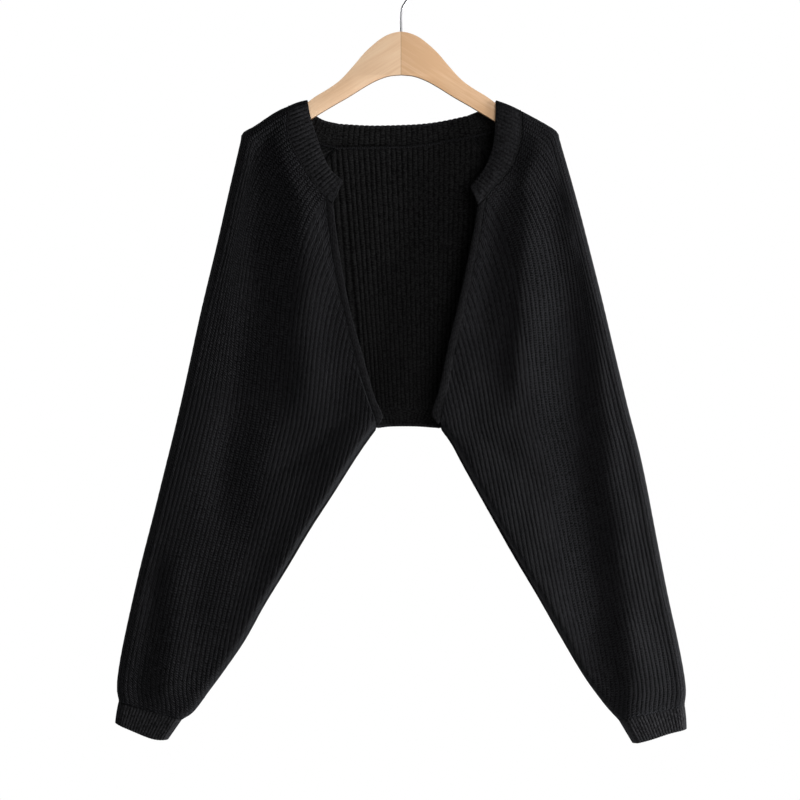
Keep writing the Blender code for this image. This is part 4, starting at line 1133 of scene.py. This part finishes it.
class Nodes:
    """Short calls for a material's nodes."""

    def __init__(self, name):
        self.material = bpy.data.materials.new(name)
        self.material.use_nodes = True
        self.tree = self.material.node_tree
        self.shader = self.tree.nodes["Principled BSDF"]

    def add(self, kind, inputs=(), **settings):
        node = self.tree.nodes.new("ShaderNode" + kind)
        for key, value in settings.items():
            setattr(node, key, value)
        for socket, value in dict(inputs).items():
            self.feed(node, socket, value)
        return node

    def feed(self, node, socket, value):
        if isinstance(value, bpy.types.NodeSocket):
            self.tree.links.new(value, node.inputs[socket])
        else:
            node.inputs[socket].default_value = value

    def math(self, operation, first, second=0.0):
        return self.add("Math", {0: first, 1: second}, operation=operation).outputs[0]

    def scaled(self, socket, weight):
        return self.math("MULTIPLY", socket, weight)

    def total(self, *parts):
        """Sum of sockets, each times its weight."""
        first, *rest = [self.scaled(*part) for part in parts]
        for other in rest:
            first = self.math("ADD", first, other)
        return first

    def axes(self, vector):
        split = self.add("SeparateXYZ", {0: vector})
        return [split.outputs[axis] for axis in "XYZ"]

    def place(self, **parts):
        """A place in a texture, from a socket and its scale for each axis."""
        inputs = {axis: self.scaled(*part) for axis, part in parts.items()}
        return self.add("CombineXYZ", inputs).outputs[0]

    def share(self, value, start, stop, low, high):
        """A value brought from one range to another."""
        return self.add("MapRange", {"Value": value, 1: start, 2: stop, 3: low, 4: high}).outputs[0]

    def mix(self, share, first, second):
        return self.add("MixRGB", {"Fac": share, "Color1": first, "Color2": second}).outputs[0]

    def bump(self, height, strength, distance):
        inputs = {"Height": height, "Strength": strength, "Distance": distance}
        return self.add("Bump", inputs).outputs["Normal"]

    def grey(self, factor, *stops):
        return self.ramp(factor, [(place, (level, level, level)) for place, level in stops])

    def finished(self, inputs):
        """The material, with these inputs of its shader."""
        for socket, value in inputs.items():
            self.feed(self.shader, socket, value)
        return self.material

    def noise(self, vector, scale, detail=2.0, roughness=0.5):
        inputs = {"Vector": vector, "Scale": scale, "Detail": detail, "Roughness": roughness}
        return self.add("TexNoise", inputs).outputs["Fac"]

    def ramp(self, factor, stops):
        node = self.add("ValToRGB", {"Fac": factor})
        elements = node.color_ramp.elements
        while len(elements) < len(stops):
            elements.new(0.5)
        for element, (place, colour) in zip(elements, stops):
            element.position = place
            element.color = (*colour, 1)
        return node.outputs["Color"]


def knit_material(name, groove, ridge, stitches, relief):
    """Near-black wool: round ribs with chevron stitches up each of them, fuzz, uneven dye, and painted shade
    that darkens the grooves and the gaps between stitches.
    """
    knit = Nodes(name)
    across, up, _ = knit.axes(knit.add("UVMap", uv_map="knit").outputs["UV"])
    position = knit.add("TexCoord").outputs["Object"]
    centre = knit.math("ABSOLUTE", knit.math("SUBTRACT", knit.math("FRACT", across), 0.5))
    course = knit.total((up, 1.0), (centre, 1.1), (knit.noise(position, 190.0), 1.5),
                        (knit.math("FLOOR", across), 0.37))
    wave = knit.math("SINE", knit.scaled(course, 2 * math.pi))
    crest = knit.math("SUBTRACT", 1.0, knit.math("POWER", knit.scaled(centre, 2.0), 3.0))
    stitch = knit.scaled(knit.math("MULTIPLY", wave, crest), stitches)
    slubs = knit.noise(knit.place(X=(across, 1.6), Y=(up, 1.0)), 1.3, 2.0, 0.6)
    fuzz = knit.noise(position, 900.0, 3.0, 0.65)
    strands = knit.noise(position, 380.0, 3.0, 0.6)
    patches = knit.noise(position, 9.0, 3.0)
    height = knit.total((stitch, 1.0), (fuzz, 0.4), (strands, 1.0), (slubs, 1.2))
    # Painted shade and light: the colour is darker in the grooves and between stitches and lighter on rib
    # and stitch crests, along with the uneven dye
    dye_and_painted_shade = knit.total((crest, 0.12), (patches, 0.08), (stitch, 0.34), (strands, 0.75), (slubs, 0.42))
    return knit.finished({
        "Base Color": knit.ramp(dye_and_painted_shade, ((0.58, groove), (0.86, ridge))),
        "Normal": knit.bump(height, 0.9, 0.0006 * relief),
        "Roughness": 1.0,
        "Specular IOR Level": 0.06,
        "Sheen Weight": 0.02,
        "Sheen Roughness": 0.4,
        "Sheen Tint": WOOL_SHEEN,
    })


def wood_material():
    """Pale lacquered wood: grain along each arm, a darker left arm, painted shade on the rounded edges, and
    a fine joint.
    """
    wood = Nodes("pale_wood")
    position = wood.add("TexCoord").outputs["Object"]
    across, deep, up = wood.axes(position)
    away = wood.math("ABSOLUTE", across)
    drop = wood.total((away, 0.62), (up, 1.0))
    arm = wood.total((drop, 26.0), (wood.math("SIGN", across), 1.0))
    long_grain = wood.noise(wood.place(X=(away, 2.2), Y=(deep, 9.0), Z=(arm, 1.0)), 6.5, 5.0, 0.62)
    pores = wood.noise(wood.place(X=(away, 14.0), Y=(deep, 60.0), Z=(drop, 420.0)), 2.0, 3.0, 0.6)
    grain = wood.total((long_grain, 0.45), (pores, 0.25), (wood.noise(position, 14.0, 2.0), 0.3))
    darker = wood.share(across, 0.0, 0.1, 0.24, 0.17)
    left_arm = wood.math("MULTIPLY", wood.math("GREATER_THAN", across, 0.0), darker)
    grain_colour = wood.ramp(wood.math("SUBTRACT", grain, left_arm), WOOD_COLOURS)
    # Painted shade: the rounded edges, which turn away from the front and back faces, darken towards the
    # edge colour
    _, facing, _ = wood.axes(wood.add("TexCoord").outputs["Normal"])
    edge = wood.share(wood.math("ABSOLUTE", facing), 0.5, 0.97, 1.0, 0.0)
    joint = wood.math("LESS_THAN", away, JOINT_HALF_WIDTH)
    return wood.finished({
        "Base Color": wood.mix(wood.scaled(joint, 0.7), wood.mix(edge, grain_colour, WOOD_EDGE_SHADE), WOOD_JOINT),
        "Normal": wood.bump(pores, 0.25, 0.0003),
        "Roughness": wood.grey(pores, (0.3, 0.5), (0.7, 0.38)),
        "Coat Weight": 0.25,
        "Coat Roughness": 0.25,
    })


def wire_material():
    """Drawn steel wire with faint marks."""
    wire = Nodes("steel_wire")
    marks = wire.noise(wire.add("TexCoord").outputs["Object"], 900.0, 3.0)
    return wire.finished({
        "Base Color": wire.ramp(marks, WIRE_COLOURS),
        "Metallic": 1.0,
        "Roughness": wire.grey(marks, (0.3, 0.22), (0.7, 0.36)),
        "Normal": wire.bump(marks, 0.15, 0.0001),
    })


def dress(item, materials, slot, *nodes):
    """Give a piece its materials and its body, and hide the part's solids that it stands for."""
    for material in materials:
        item.data.materials.append(material)
    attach(item, "root")
    if nodes:
        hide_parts(*nodes)


def make_floor():
    """Plain pale floor."""
    bpy.ops.mesh.primitive_circle_add(vertices=96, radius=FLOOR_RADIUS, fill_type="NGON",
                                      location=(0, 0, FLOOR_HEIGHT))
    floor = bpy.context.object
    floor.name = "floor"
    pale = Nodes("pale_floor").finished({"Base Color": (0.9, 0.9, 0.9, 1), "Roughness": 0.8})
    floor.data.materials.append(pale)


def make_room():
    """White room, which gives only a little light of its own."""
    world = bpy.data.worlds.new("white_room")
    world.use_nodes = True
    tree = world.node_tree
    shine = tree.nodes["Background"]
    seen = tree.nodes.new("ShaderNodeBackground")
    mix = tree.nodes.new("ShaderNodeMixShader")
    for node, strength in ((shine, ROOM_LIGHT), (seen, 1.0)):
        node.inputs["Color"].default_value = (1, 1, 1, 1)
        node.inputs["Strength"].default_value = strength
    tree.links.new(tree.nodes.new("ShaderNodeLightPath").outputs["Is Camera Ray"], mix.inputs["Fac"])
    tree.links.new(shine.outputs[0], mix.inputs[1])
    tree.links.new(seen.outputs[0], mix.inputs[2])
    tree.links.new(mix.outputs[0], tree.nodes["World Output"].inputs["Surface"])
    bpy.context.scene.world = world


def make_lights():
    """Soft studio lights, all turned to the garment's middle."""
    for name, place, size, power in LIGHTS:
        lamp = bpy.data.lights.new(name, "AREA")
        lamp.size = size
        lamp.energy = power
        item = new_object(name, lamp)
        item.location = place
        item.rotation_euler = (Vector(LIGHT_TARGET) - Vector(place)).to_track_quat("-Z", "Y").to_euler()


def make_camera():
    """Level camera straight in front, at the photograph's scale."""
    camera = bpy.data.cameras.new("camera")
    camera.sensor_width = 36.0
    camera.lens = CAMERA_LENS
    camera.clip_end = 60.0
    item = new_object("camera", camera)
    item.location = CAMERA_PLACE
    item.rotation_euler = (math.pi / 2, 0, 0)
    bpy.context.scene.camera = item
    bpy.context.scene.view_settings.view_transform = "Standard"


def main():
    halves = {side: Half(side) for side in OUTLINES}
    outside, inside, fine, edging, yarn = (knit_material(name, *look) for name, look in KNITS.items())
    # The inside material is a darker copy of the rib knit: painted shade on every inner face
    rib_knit, band_knit, edge_knit = (outside, inside), (fine, inside), (edging, inside)
    wood, hook = make_wood(), make_hook()
    dress(wood, [wood_material()], "wood", "hanger_wood")
    dress(hook, [wire_material()], "hook", "hanger_hook")
    for side, half in halves.items():
        sleeve, trim, cuff = make_sleeve(half), make_trim(half), make_cuff(half)
        dress(sleeve, rib_knit, "knit", side + "_front_and_sleeve", side + "_sleeve_back")
        dress(trim, edge_knit, "knit", side + "_front_trim")
        dress(cuff, band_knit, "knit", side + "_cuff")
        stitches = [make_neck_stitches(half), make_raglan_stitches(half), make_trim_stitches(half),
                    make_underarm_stitches(half), make_cuff_stitches(half)]
        for row in stitches:
            dress(row, [yarn], "knit")
    band_piece, back, hem = make_neckband(halves), make_back(halves), make_hem(halves)
    linking, hem_stitches = make_neck_linking(halves), make_hem_stitches(halves)
    dress(band_piece, band_knit, "knit", "neckband")
    dress(back, rib_knit, "knit", "back_panel")
    dress(hem, band_knit, "knit", "hem_band")
    for row in [linking] + hem_stitches:
        dress(row, [yarn], "knit")
    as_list(hem_stitches)
    make_floor()
    make_room()
    make_lights()
    make_camera()


main()
